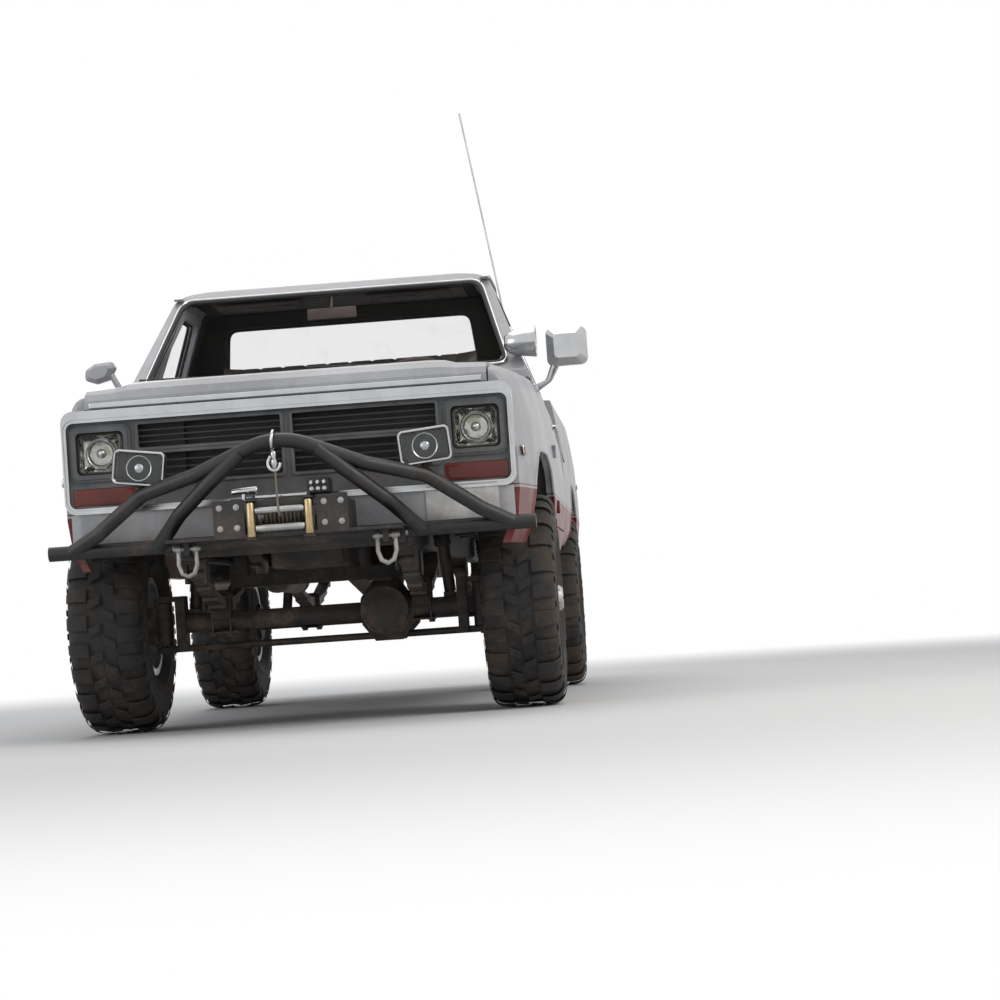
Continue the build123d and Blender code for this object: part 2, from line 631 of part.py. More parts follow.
def make_valance():
    half = [(HALF_W - 114, 28), (HALF_W - 114, 6, 12), (HALF_W - 150, -14, 40)]
    out = prism_z(sym(half), 768, FRONT_Z)
    for s in (-1, 1):
        out += sbox(s, 280, 340, 24, SUPPORT_Y, 882, 898)
    return out


def make_bed():
    out = prism_y(sym(BED_HALF), BED_FRONT, TAIL_Y)
    out -= box(-BED_IN, BED_IN, BED_FRONT + 40, TAIL_Y + 50, BED_FLOOR, 1600)
    out -= box(-1200, 1200, BED_BACK, TAIL_Y + 50, 500, 1600) & box(-BED_IN, BED_IN, 0, 9000, 0, 1600)
    under = prism_y(inset(sym(BED_HALF), SKIN), BED_FRONT - 50, TAIL_Y + 50)
    out -= under & box(-1200, 1200, 0, 9000, 500, BED_FLOOR - SKIN)
    out -= box(80 - HALF_W, HALF_W - 80, 0, 9000, 500, 760)
    # grooves along the floor
    for k in range(-5, 5):
        x = (k + 0.5) * 118
        out -= box(x - 22, x + 22, BED_FRONT + 90, BED_BACK - 60, BED_FLOOR - 9, BED_FLOOR + 5)
    for s in (-1, 1):
        well = sbox(s, WELL_X, HALF_W - 100, AXLE_R - 480, AXLE_R + 480, BED_FLOOR - SKIN, 1205)
        out += well
        out -= sbox(s, WELL_X + 20, HALF_W - 35, AXLE_R - 460, AXLE_R + 460, 600, 1185)
        out -= arch(AXLE_R, s * (HALF_W - 60), s * OUT_X, ARCH_R, ARCH_TOP_R)
        pin = HALF_W - 120
        out -= rod((s * pin, TAILGATE_Y, TAILGATE_Z), (s * (pin + 16), TAILGATE_Y, TAILGATE_Z), 8 + FIT)
        # stake pockets in the rails
        for y in (BED_FRONT + 130, (BED_FRONT + BED_BACK) / 2, BED_BACK - 110):
            out -= sbox(s, HALF_W - 98, HALF_W - 62, y - 32, y + 32, RAIL_TOP - 80, RAIL_TOP + 10)
    return out


WELL_X = HALF_W - 390


def make_tailgate():
    y, z = TAILGATE_Y, TAILGATE_Z
    reach = HALF_W - 121
    gate = [(y - TAILGATE_R, z), (y + TAILGATE_R, z), (y + TAILGATE_R, RAIL_TOP - 4, 10), (y - TAILGATE_R, RAIL_TOP - 4, 10)]
    out = prism_x(gate, -reach, reach) + rod((-reach, y, z), (reach, y, z), TAILGATE_R)
    face = y + TAILGATE_R
    out -= prism_y(sym([(reach - 99, 1060, 24), (reach - 99, 1340, 24)]), face - 10, face + 10)
    out -= prism_y(sym([(90, 1362, 10), (90, 1402, 10)]), face - 14, face + 10)
    return out + rod((-reach - 16, y, z), (reach + 16, y, z), 8)


# Tube bumper: x, y, z of its bends on the vehicle's left; the hoop arches over the middle
OUTER = [(330, -268, 1012), (560, -190, 952), (760, -110, 812), (880, -62, 750)]
HOOP = (0, -300, 1146)
HOOP_R = 300
INNER = [(150, -290, 1080), (285, -288, 968), (410, -235, 862), (520, -110, 750)]
BEAM = (968, -62, 750)
TUBE = 29


def hoop_line(grow):
    line = [(-x, y, z) for x, y, z in reversed(OUTER)] + [HOOP] + OUTER
    return bent(line, TUBE + grow, [100, 100, 100, HOOP_R, 100, 100, 100])


def make_bumper():
    parts = [hoop_line(0), rod((-BEAM[0], BEAM[1], BEAM[2]), (BEAM[0], BEAM[1], BEAM[2]), TUBE)]
    for s in (-1, 1):
        parts.append(bent([(s * x, y, z) for x, y, z in INNER], TUBE, 120))
        # brackets on the rails and the shackles' tabs
        parts.append(sbox(s, RAIL_X, RAIL_X + RAIL_W, -140, RAIL_FRONT, 700, 764))
        parts.append(sbox(s, 250, RAIL_X + RAIL_W, -330, -130, 752, 764))
        parts.append(sbox(s, 250, 262, -330, -60, 752, 880))
        parts.append(sbox(s, SHACKLE_X - 11, SHACKLE_X + 11, -240, -130, 705, 764))
    parts.append(box(-262, 262, -330, -60, 752, 762))
    front = box(-262, 262, -338, -328, 752, 900)
    parts.append(front - box(-140, 140, -350, -320, 764, 901))
    out = add(parts)
    for s in (-1, 1):
        out -= rod((s * (SHACKLE_X - 20), SHACKLE_Y, SHACKLE_Z), (s * (SHACKLE_X + 20), SHACKLE_Y, SHACKLE_Z), 10 + FIT)
    return out


SHACKLE_X = 390
SHACKLE_Y = -215
SHACKLE_Z = 730


def make_shackles():
    out = []
    for s in (-1, 1):
        x, y, z = s * SHACKLE_X, SHACKLE_Y, SHACKLE_Z
        bow = [(x - 34, z), (x - 36, z - 62), (x - 24, z - 96), (x, z - 108), (x + 24, z - 96), (x + 36, z - 62), (x + 34, z)]
        body = pipe([(a, y, b) for a, b in bow], 9)
        body += rod((x - 52, y, z), (x + 52, y, z), 10)
        body += rod((x - 44, y, z), (x - 24, y, z), 17) + rod((x + 24, y, z), (x + 44, y, z), 17)
        out.append(body)
    return out


def make_winch():
    y, z = -215, 838
    drum = rod((-95, y, z), (95, y, z), 44)
    drum += rod((-98, y, z), (-84, y, z), 72) + rod((84, y, z), (98, y, z), 72)
    drum += rod((-236, y, z), (-96, y, z), 74) + rod((96, y, z), (236, y, z), 74)
    drum += box(-236, 236, y - 40, y + 40, 762, 800)
    drum += box(96, 190, y - 55, y + 55, z + 50, z + 132)
    drum += rod((-196, y - 40, z + 96), (-92, y - 40, z + 100), 15) + rod((-150, y - 40, z + 60), (-150, y - 40, z + 98), 10)
    drum += rod((-110, y - 66, z + 68), (110, y - 66, z + 68), 8)
    for s in (-1, 1):
        drum += sbox(s, 99, 112, y - 75, y, z + 40, z + 78)
    # roller fairlead
    fair = None
    for s in (-1, 1):
        v = rod((s * 112, FAIR_Y, 748), (s * 112, FAIR_Y, 888), ROLLER_R)
        for z in (740, 888):
            v += sbox(s, 92, 132, -373, -338, z, z + 8)
        fair = v if fair is None else fair + v
    for h in (784, 852):
        fair += rod((-112, FAIR_Y, h), (112, FAIR_Y, h), 13)
    fair += box(-132, 132, -342, -338, 766, 782) + box(-132, 132, -342, -338, 856, 896)
    for s in (-1, 1):
        fair += sbox(s, 118, 132, -342, -338, 740, 896)
    # hook hung on the hoop, with the end of the rope
    hook = pipe([(-18, -300, 1100), (-18, -300, 1062), (-30, -300, 1030), (-18, -300, 1004), (2, -300, 1012), (4, -300, 1026)], 8)
    hook += rod((-16, -300, 1004), (-2, FAIR_Y, 872), 5)
    return [drum, fair, hook - hoop_line(FIT)]


# Lamps on the bumper: side, tilt, height of the middle
AUX = [(1, -5, 1066), (-1, 8, 1058)]
AUX_X = 562
AUX_Y = -180


def make_aux():
    out = []
    for s, tilt, z in AUX:
        at = Pos(s * AUX_X, AUX_Y, z) * Rot(0, tilt, 0) * Rot(90, 0, 0)
        body = at * extrude(RectangleRounded(206, 138, 22), 43)
        body += at * Pos(0, 0, -40) * loft([Pos(0, 0, 40) * RectangleRounded(206, 138, 22), RectangleRounded(120, 80, 22)])
        body -= at * Pos(0, 0, 37) * extrude(RectangleRounded(188, 120, 15), 20)
        foot = rod((s * AUX_X, AUX_Y, 940), (s * AUX_X, AUX_Y, z - 50), 11)
        out.append(body + foot - hoop_line(FIT))
    return out


def make_rear_bumper():
    reach = HALF_W - 95
    out = prism_z(sym([(reach, 4700), (reach, REAR_Y, 40)]), 752, 905)
    out -= prism_z(sym([(reach - 12, 4712), (reach - 12, REAR_Y - 12, 28)]), 700, 893)
    # stepped middle for the tow ball
    out -= box(-150, 150, 4712, REAR_Y + 10, 700, 910)
    out += box(-180, 180, 4700, REAR_Y, 752, 764)
    for s in (-1, 1):
        out += sbox(s, RAIL_X, RAIL_X + RAIL_W, 4640, 4714, 770, 830)
    return out - rod((0, 4780, 700), (0, 4780, 800), BALL_R)


BALL_R = 12.8


def make_cab_glass():
    one = prism_x(inset(CAB_SIDE, 16), -HALF_W, HALF_W) - prism_x(inset(CAB_SIDE, 22), -OUT_X, OUT_X)
    return [one & window_y(SCREEN, 1300, 2050), one & window_y(REAR_WIN, 2400, 2800)]


def make_door_glass(s):
    slab = prism_y(inset(sym(CAB_HALF), 22), 1300, 2700) - prism_y(inset(sym(CAB_HALF), 28), 1290, 2710)
    return slab & (prism_x(WINDOW, s * DOOR_IN, s * OUT_X) - prism_x(inset(VENT_BAR, -FIT), s * DOOR_IN, s * OUT_X))


# Mirror heads: back outline as x and z from the middle, corner radius
HEAD_LEFT = [(-93, -87, 30), (-93, 87, 30), (93, 87, 34), (93, -87, 34)]
HEAD_RIGHT = [(-72, -30, 20), (-68, 16, 22), (-22, 44, 20), (58, 50, 16), (72, 22, 12), (42, -32, 16), (-20, -48, 18)]
MIRROR_Y = 1600


def mirror_head(rows, x, z, deep):
    """Shell with its glass facing back and a domed front."""
    faces = []
    for dy, k in ((32, 1), (-4, 1), (-deep, 0.62)):
        faces.append(outline([(x + a * k, z + b * k, r * k) for a, b, r in rows], lambda a, b: (a, MIRROR_Y + dy, b)))
    out = loft(faces, ruled=True)
    glass = [(x + a * 0.9, z + b * 0.9, r * 0.9) for a, b, r in rows]
    return out - prism_y(glass, MIRROR_Y + 25, MIRROR_Y + 60)


def make_mirror(s):
    body = prism_y(inset(sym(CAB_HALF), -FIT), 1300, 2700)
    y = MIRROR_Y
    if s > 0:
        x, z = HALF_W + 87, 1588
        head = mirror_head(HEAD_LEFT, x, z, 44)
        arm = bent([(HALF_W - 78, y, 1408), (HALF_W - 8, y, 1440), (x - 66, y, z - 70)], 9, 30)
        arm += bent([(HALF_W - 70, y + 70, 1400), (HALF_W, y + 40, 1442), (x - 40, y, z - 70)], 9, 30)
    else:
        x, z = -HALF_W - 56, 1622
        head = mirror_head(HEAD_RIGHT, x, z, 42)
        arm = bent([(x + 50, y, z - 10), (30 - HALF_W, y, 1540), (90 - HALF_W, y, 1440)], 14, 24)
    return head + (arm - body)


def make_dash():
    profile = [(COWL_Y + WALL, 1250), (COWL_Y + WALL, 1400), (1425, 1434, 20), (1600, 1444, 60), (1690, 1390, 30), (1670, 1210, 40),
               (1560, 1180, 20)]
    out = prism_x(profile, 162 - HALF_W, HALF_W - 162)
    # steering column and wheel
    a, b = (380, 1600, 1300), (380, 1840, 1425)
    out += rod(a, b, 26)
    plane = Plane(origin=Vector(*b), z_dir=Vector(*b) - Vector(*a))
    out += plane * Torus(190, 13)
    for k in range(3):
        t = radians(90 + 120 * k)
        tip = plane.from_local_coords(Vector(190 * cos(t), 190 * sin(t), 0))
        out += rod(b, (tip.X, tip.Y, tip.Z), 9)
    return out


# Bench: cushion and back seen from the side: y, z, corner radius
CUSHION = [(1955, 1000, 15), (1950, 1218, 45), (2470, 1198, 20), (2490, 1000)]
BACKREST = [(2400, 1150), (2425, 1720, 45), (2515, 1712, 30), (2560, 1180), (2540, 1040), (2400, 1040)]


def make_seat():
    half = HALF_W - 340
    out = prism_x(CUSHION, -half, half) + prism_x(BACKREST, -half, half)
    return out + box(60 - half, half - 60, 2010, 2440, CAB_FLOOR + SKIN, 1010)


def make_engine():
    return box(-265, 265, 330, 1010, ENGINE_Z, 1230) + box(-150, 150, 300, 340, 700, 1100)


def make_driveline():
    out = prism_x([(1010, 650), (1010, 880), (1200, 860), (1700, 800), (1880, 800), (1880, 640), (1200, 645)], -130, 130)
    out += box(100, 330, 1660, 1880, 590, 800)
    out += box(-40, 40, 1875, 1895, 700, 770)
    out += rod((DIFF_X - 20, 1670, 655), (DIFF_X, AXLE_F + 245, AXLE_Z + 38), 30)
    out += rod((0, 1870, 645), (0, AXLE_R - 245, AXLE_Z + 29), 38)
    return out - front_nose(FIT) - rear_nose(FIT)


def make_exhaust():
    x = -265 - 27 - FIT
    out = pipe([(x, 880, 712), (x, 1090, 690), (-330, 1300, 626), (-330, 2560, 626), (-420, 2760, 640), (-790, 2860, 640)], 27)
    return out + rod((-330, 1760, 626), (-330, 2460, 626), 60)


def make_tank():
    return box(150, RAIL_X, 2080, 2860, 600, 700) + box(150, RAIL_X - 5, 2080, 2860, 690, 815)


# Spotlight, turned: along from its lens, radius, corner radius
SPOT = [(-146, 0), (-146, 40, 34), (-70, 64, 60), (-12, 70, 6), (0, 66, 4), (0, 0)]
SPOT_Y = 1405
SPOT_Z = 1602


def make_spot():
    pts = [(HALF_W - 42 + row[0], *row[1:]) for row in SPOT]
    out = revolve(outline(pts, lambda x, r: (x, SPOT_Y, SPOT_Z + r)), Axis((0, SPOT_Y, SPOT_Z), (1, 0, 0)), 360)
    return out + (rod((HALF_W - 132, SPOT_Y, SPOT_Z), (HALF_W - 154, 1560, 1592), 11) - cab_solid(-FIT))


def make_antenna():
    x, y = HALF_W - 185, BED_FRONT + 20
    out = rod((x, y, RAIL_TOP), (x, y, RAIL_TOP + 40), 20)
    return out + bent([(x, y, RAIL_TOP + 38), (x - 71, y + 20, 1950), (x - 215, y + 40, 2900)], 4.5, 900)


def make_tail_lamps():
    return [rounded_y(s, HALF_W - 107, HALF_W - 28, 1090, 1300, 12, TAIL_Y, TAIL_Y + 14) for s in (-1, 1)]


save(make_frame(), "frame")
save(make_suspension(), "suspension")
save(make_front_axle(), "front_axle")
save(make_rear_axle(), "rear_axle")
save(make_knuckle(1), "knuckle_left")
save(make_knuckle(-1), "knuckle_right")
save(make_tie_rod(), "tie_rod")
tyre = make_tyre()
for where, s, y in (("front_left", 1, AXLE_F), ("front_right", -1, AXLE_F), ("rear_left", 1, AXLE_R), ("rear_right", -1, AXLE_R)):
    save(Pos(s * HALF_TRACK, y, AXLE_Z) * tyre, f"tyre_{where}")
    save(make_rim(s, y), f"rim_{where}")
cab, (door_l, door_r) = make_cab()
save(cab, "cab")
save(door_l, "door_left")
save(door_r, "door_right")
save(make_door_glass(1), "door_glass_left")
save(make_door_glass(-1), "door_glass_right")
save(make_mirror(1), "mirror_left")
save(make_mirror(-1), "mirror_right")
save(make_cab_glass(), "cab_glass")
save(make_wings(), "front_wings")
save(make_hood(), "hood")
save(make_surround(), "grille_surround")
save(make_grille(), "grille")
save(make_lamps(), "front_lamps")
save(make_support(), "radiator_support")
save(make_valance(), "valance")
save(make_bed(), "bed")
save(make_tailgate(), "tailgate")
save(make_tail_lamps(), "tail_lamps")
save(make_bumper(), "tube_bumper")
save(make_winch(), "winch")
save(make_shackles(), "tow_shackles")
save(make_aux() + [make_spot()], "aux_lamps")
save(make_rear_bumper(), "rear_bumper")
save(make_dash(), "dashboard")
save(make_seat(), "bench_seat")
save(make_engine(), "engine_block")
save(make_driveline(), "driveline")
save(make_exhaust(), "exhaust")
save(make_tank(), "fuel_tank")
save(make_antenna(), "antenna")
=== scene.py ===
import bpy
import bmesh
import json
from math import sin, cos, pi, radians, hypot
from mathutils import Vector, Matrix

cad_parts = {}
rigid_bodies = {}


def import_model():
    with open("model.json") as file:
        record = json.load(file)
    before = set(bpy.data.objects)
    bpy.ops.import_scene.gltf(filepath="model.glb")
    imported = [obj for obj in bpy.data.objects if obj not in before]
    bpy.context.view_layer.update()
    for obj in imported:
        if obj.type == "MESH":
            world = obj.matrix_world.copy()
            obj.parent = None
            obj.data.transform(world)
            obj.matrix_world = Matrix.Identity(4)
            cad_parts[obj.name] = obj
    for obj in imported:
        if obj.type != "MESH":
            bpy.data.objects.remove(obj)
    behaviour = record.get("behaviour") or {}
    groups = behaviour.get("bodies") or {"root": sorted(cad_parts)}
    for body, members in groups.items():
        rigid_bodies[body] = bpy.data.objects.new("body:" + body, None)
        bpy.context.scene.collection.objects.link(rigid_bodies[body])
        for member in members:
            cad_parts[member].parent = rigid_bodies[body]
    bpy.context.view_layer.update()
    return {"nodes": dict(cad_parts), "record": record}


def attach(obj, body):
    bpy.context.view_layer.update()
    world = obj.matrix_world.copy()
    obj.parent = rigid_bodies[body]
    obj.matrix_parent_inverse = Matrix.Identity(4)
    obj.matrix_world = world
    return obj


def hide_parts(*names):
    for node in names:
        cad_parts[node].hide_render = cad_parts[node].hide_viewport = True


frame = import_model()

# Lengths below are millimetres as in the part's source: x to the vehicle's left, y back from the grille's
# face, z up from the ground. MID moves them to the row's frame.
MID = 2234.5
AXLE_F = 745
AXLE_R = 3666
AXLE_Z = 444.5
HALF_TRACK = 855
SPRING_X = 426
HOOD_X = 812

LEFT, BACK, AHEAD, UP = (1, 0, 0), (0, 1, 0), (0, -1, 0), (0, 0, 1)
SIDES = ((1, "left"), (-1, "right"))

# Materials by name
M = {}


def link(o):
    bpy.context.scene.collection.objects.link(o)
    return o


class Mesh:
    """Collects forms in millimetres; done() makes one object of them and empties it for the next."""

    def __init__(self):
        self.v, self.f = [], []

    def add(self, verts, faces):
        n = len(self.v)
        self.v += [tuple(v) for v in verts]
        self.f += [tuple(i + n for i in f) for f in faces]

    def take(self, bm, rims, r, seg, mat):
        """Adds a bmesh with its rims rounded, placed by mat."""
        if r:
            bmesh.ops.bevel(bm, geom=rims, offset=r, segments=seg, affect="EDGES", profile=0.5)
        if mat is not None:
            bm.transform(mat)
        bm.verts.index_update()
        self.add([v.co[:] for v in bm.verts], [[v.index for v in f.verts] for f in bm.faces])
        bm.free()

    def box(self, x0, x1, y0, y1, z0, z1, r=2, seg=2, mat=None):
        x0, x1 = sorted((x0, x1))
        bm = bmesh.new()
        bmesh.ops.create_cube(bm, size=1)
        for v in bm.verts:
            v.co = ((x0 + x1) / 2 + v.co.x * (x1 - x0), (y0 + y1) / 2 + v.co.y * (y1 - y0),
                    (z0 + z1) / 2 + v.co.z * (z1 - z0))
        self.take(bm, bm.edges[:], r, seg, mat)

    def plate(self, pts, thick, r=1.5, seg=2, mat=None):
        """Outline x, y extruded along z by thick, its rims rounded."""
        bm = bmesh.new()
        face = bm.faces.new([bm.verts.new((x, y, 0)) for x, y in pts])
        face.normal_update()
        if face.normal.z > 0:
            face.normal_flip()
        top = bmesh.ops.extrude_face_region(bm, geom=[face])["geom"]
        bmesh.ops.translate(bm, verts=[e for e in top if isinstance(e, bmesh.types.BMVert)], vec=(0, 0, thick))
        bmesh.ops.recalc_face_normals(bm, faces=bm.faces[:])
        self.take(bm, [e for e in bm.edges if abs(e.verts[0].co.z - e.verts[1].co.z) < 1e-6], r, seg, mat)

    def loft(self, rings, close=False, first=True, last=True):
        """Skin through rings of points. Unless it runs round, its first and last rings are filled."""
        m, q = len(rings[0]), len(rings)
        faces = [(i * m + k, i * m + (k + 1) % m, (i + 1) % q * m + (k + 1) % m, (i + 1) % q * m + k)
                 for i in range(q if close else q - 1) for k in range(m)]
        if first and not close:
            faces.append(tuple(range(m))[::-1])
        if last and not close:
            faces.append(tuple((q - 1) * m + k for k in range(m)))
        self.add([p for ring in rings for p in ring], faces)

    def lathe(self, prof, at, axis=LEFT, n=32, close=False, cap=False):
        """Turned form: prof is along the axis and radius."""
        at, ax = Vector(at), Vector(axis).normalized()
        side = ax.orthogonal().normalized()
        up = ax.cross(side)
        turn = [(cos(2 * pi * k / n), sin(2 * pi * k / n)) for k in range(n)]
        self.loft([[at + ax * a + (side * c + up * s) * r for c, s in turn] for a, r in prof], close, False, cap)

    def knob(self, prof, at, axis=LEFT, n=32):
        """Turned form that closes to its axis at both ends."""
        self.lathe([(prof[0][0], 0), *prof, (prof[-1][0], 0)], at, axis, n)

    def tube(self, pts, r, n=12, closed=False):
        """Round bar along points; r may be a list."""
        pts = [Vector(p) for p in pts]
        m = len(pts)
        radii = r if isinstance(r, list) else [r] * m
        turn = [(cos(2 * pi * k / n), sin(2 * pi * k / n)) for k in range(n)]
        rings, up = [], None
        for i, (p, w) in enumerate(zip(pts, radii)):
            d = pts[(i + 1) % m] - pts[i - 1] if closed else pts[min(i + 1, m - 1)] - pts[max(i - 1, 0)]
            d.normalize()
            side = d.cross(up or d.orthogonal().normalized()).normalized()
            up = side.cross(d).normalized()
            rings.append([p + side * c * w + up * s * w for c, s in turn])
        self.loft(rings, closed)

    def hexbolt(self, at, axis, r, h):
        """Bolt head with a washer."""
        self.lathe([(0, 0), (0, r * 1.5), (h * 0.18, r * 1.5), (h * 0.2, r * 1.4), (h * 0.2, 0)], at, axis, 14)
        self.lathe([(h * 0.2, r), (h * 0.9, r), (h, r * 0.86)], at, axis, 6, cap=True)

    def build(self, name, *mats):
        """Object of what was collected, in metres in the row's frame."""
        me = bpy.data.meshes.new(name)
        me.from_pydata([(x / 1000, (y - MID) / 1000, z / 1000) for x, y, z in self.v], [], self.f)
        for mat in mats:
            me.materials.append(M[mat])
        bm = bmesh.new()
        bm.from_mesh(me)
        bmesh.ops.recalc_face_normals(bm, faces=bm.faces[:])
        bm.to_mesh(me)
        bm.free()
        self.__init__()
        return link(bpy.data.objects.new(name, me))

    def done(self, name, mat, body="chassis", rep=None, smooth=38):
        """Piece that rides a body, with its material, in place of node rep."""
        o = self.build(name, mat)
        o.data.polygons.foreach_set("use_smooth", [True] * len(o.data.polygons))
        o.data.set_sharp_from_angle(angle=radians(smooth))
        o.data.update()
        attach(o, body)
        if rep:
            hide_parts(rep)


def arc(cx, cy, r, a0, a1, n):
    turn = [radians(a0 + (a1 - a0) * k / n) for k in range(n + 1)]
    return [(cx + r * cos(a), cy + r * sin(a)) for a in turn]


def rrect(x0, x1, y0, y1, r, n=5):
    return (arc(x1 - r, y1 - r, r, 0, 90, n) + arc(x0 + r, y1 - r, r, 90, 180, n)
            + arc(x0 + r, y0 + r, r, 180, 270, n) + arc(x1 - r, y0 + r, r, 270, 360, n))


def bend(p, b, q, n):
    """Curve from p to q, drawn towards b."""
    return [p * (1 - i / n) ** 2 + b * 2 * (i / n) * (1 - i / n) + q * (i / n) ** 2 for i in range(n + 1)]


def rounded(pts, r, n=4):
    """Polyline with its inner corners rounded, in three dimensions."""
    pts = [Vector(p) for p in pts]
    out = [pts[0]]
    for a, b, c in zip(pts, pts[1:], pts[2:]):
        k = min(r, (a - b).length * 0.45, (c - b).length * 0.45)
        out += bend(b + (a - b).normalized() * k, b, b + (c - b).normalized() * k, n)
    return out + [pts[-1]]


def loop_of(pts, r, n=4):
    """Closed outline with its corners rounded."""
    out = []
    pts = [Vector(p) for p in pts]
    for a, b, c in zip([pts[-1]] + pts, pts, pts[1:] + pts):
        out += bend(b + (a - b).normalized() * r, b, b + (c - b).normalized() * r, n)
    return out


def spread(pts, gap=40):
    """The same line with points no further apart than gap."""
    out = [pts[0]]
    for a, b in zip(pts, pts[1:]):
        n = max(1, int((b - a).length / gap))
        out += [a.lerp(b, (i + 1) / n) for i in range(n)]
    return out


def along(table, v):
    """Value at v in a table of stations, with straight lines between them."""
    for (a, p), (c, q) in zip(table, table[1:]):
        if v <= c:
            return p + (q - p) * max(0, v - a) / (c - a)
    return table[-1][1]


def placed(x, y, z, at):
    """Matrix that turns the axes to x, y and z and moves the origin to at."""
    m = Matrix((x, y, z)).transposed().to_4x4()
    m.translation = at
    return m


class Nodes:
    """Shader nodes of a material or world; put() takes a socket or a value."""

    def __init__(self, owner):
        owner.use_nodes = True
        self.t = owner.node_tree
        self.t.nodes.clear()

    def new(self, kind, *values, **props):
        node = self.t.nodes.new("ShaderNode" + kind)
        for k, v in props.items():
            setattr(node, k, v)
        for socket, value in zip(node.inputs, values):
            self.put(socket, value)
        return node

    def put(self, socket, value):
        if isinstance(value, bpy.types.NodeSocket):
            self.t.links.new(value, socket)
        elif isinstance(value, (tuple, list)) and len(value) == 3 and socket.type == "RGBA":
            socket.default_value = (*value, 1)
        elif value is not None:
            socket.default_value = value

    def math(self, op, a, b=0.5, clamp=False):
        return self.new("Math", a, b, operation=op, use_clamp=clamp).outputs[0]

    def add(self, a, b, clamp=False):
        return self.math("ADD", a, b, clamp)

    def sub(self, a, b):
        return self.math("SUBTRACT", a, b)

    def mul(self, a, b, clamp=False):
        return self.math("MULTIPLY", a, b, clamp)

    def less(self, a, b):
        return self.math("LESS_THAN", a, b)

    def most(self, a, b):
        return self.math("MAXIMUM", a, b)

    def size(self, a):
        return self.math("ABSOLUTE", a)

    def step(self, value, lo, hi):
        """Smooth step of value from lo to hi."""
        return self.new("MapRange", value, lo, hi, 0, 1, interpolation_type="SMOOTHSTEP").outputs[0]

    def seen(self):
        """1 for rays from the camera and for those that gloss or glass sends on, so that white stands behind."""
        path = self.new("LightPath").outputs
        return self.most(self.most(path["Is Camera Ray"], path["Is Glossy Ray"]), path["Is Transmission Ray"])


class Mat(Nodes):
    """Material on a principled shader, kept in M under key."""

    def __init__(self, key, name):
        M[key] = bpy.data.materials.new(name)
        super().__init__(M[key])
        self.b = self.new("BsdfPrincipled")
        self.new("OutputMaterial", self.b.outputs[0])
        self.co = self.new("TexCoord").outputs["Object"]
        self.x, self.y, self.z = self.new("SeparateXYZ", self.co).outputs
        self.n = self.new("NewGeometry").outputs["Normal"]

    def tex(self, kind, scale, out, co=None, props=None, **inputs):
        n = self.new("Tex" + kind, **(props or {}))
        for k, v in {"Vector": co or self.co, "Scale": scale, **inputs}.items():
            self.put(n.inputs[k], v)
        return n.outputs[out]

    def noise(self, scale, detail=4, rough=0.55, distort=0, co=None):
        return self.tex("Noise", scale, "Fac", co, Detail=detail, Roughness=rough, Distortion=distort)

    def voronoi(self, scale):
        return self.tex("Voronoi", scale, "Distance")

    def wave(self, scale, axis="X", distort=0):
        return self.tex("Wave", scale, "Fac", props={"bands_direction": axis}, Distortion=distort)

    def mix(self, fac, a, b):
        n = self.new("Mix", fac, data_type="RGBA")
        self.put(n.inputs[6], a)
        self.put(n.inputs[7], b)
        return n.outputs[2]

    def bump(self, height, strength=0.3, distance=0.001):
        n = self.new("Bump", strength, distance)
        self.put(n.inputs["Height"], height)
        return n.outputs[0]

    def set(self, **kw):
        names = {"color": "Base Color", "rough": "Roughness", "metal": "Metallic", "normal": "Normal",
                 "coat": "Coat Weight", "coat_rough": "Coat Roughness", "spec": "Specular IOR Level",
                 "trans": "Transmission Weight", "ior": "IOR", "alpha": "Alpha", "sheen": "Sheen Weight"}
        for k, v in kw.items():
            self.put(self.b.inputs[names[k]], v)

    def dust(self, color, amount=1.0, top=0.45, low=0.15, high=1.0):
        """Brown trail dust: more low down, on faces that look up and in patches. Returns colour and mask."""
        patch = self.step(self.noise(5.5, 6, 0.62), 0.42, 0.68)
        fine = self.step(self.noise(60, 4, 0.6), 0.3, 0.75)
        upward = self.step(self.new("SeparateXYZ", self.n).outputs[2], 0.35, 0.95)
        m = self.most(self.mul(patch, self.step(self.z, high, low)), self.mul(upward, top))
        m = self.mul(self.mul(m, self.add(self.mul(fine, 0.6), 0.4)), amount, True)
        return self.mix(m, color, (0.30, 0.215, 0.155)), m


# Paint: worn, chalky and chipped, maroon below the split, and dark where the cab is lined
SPLIT = 0.892


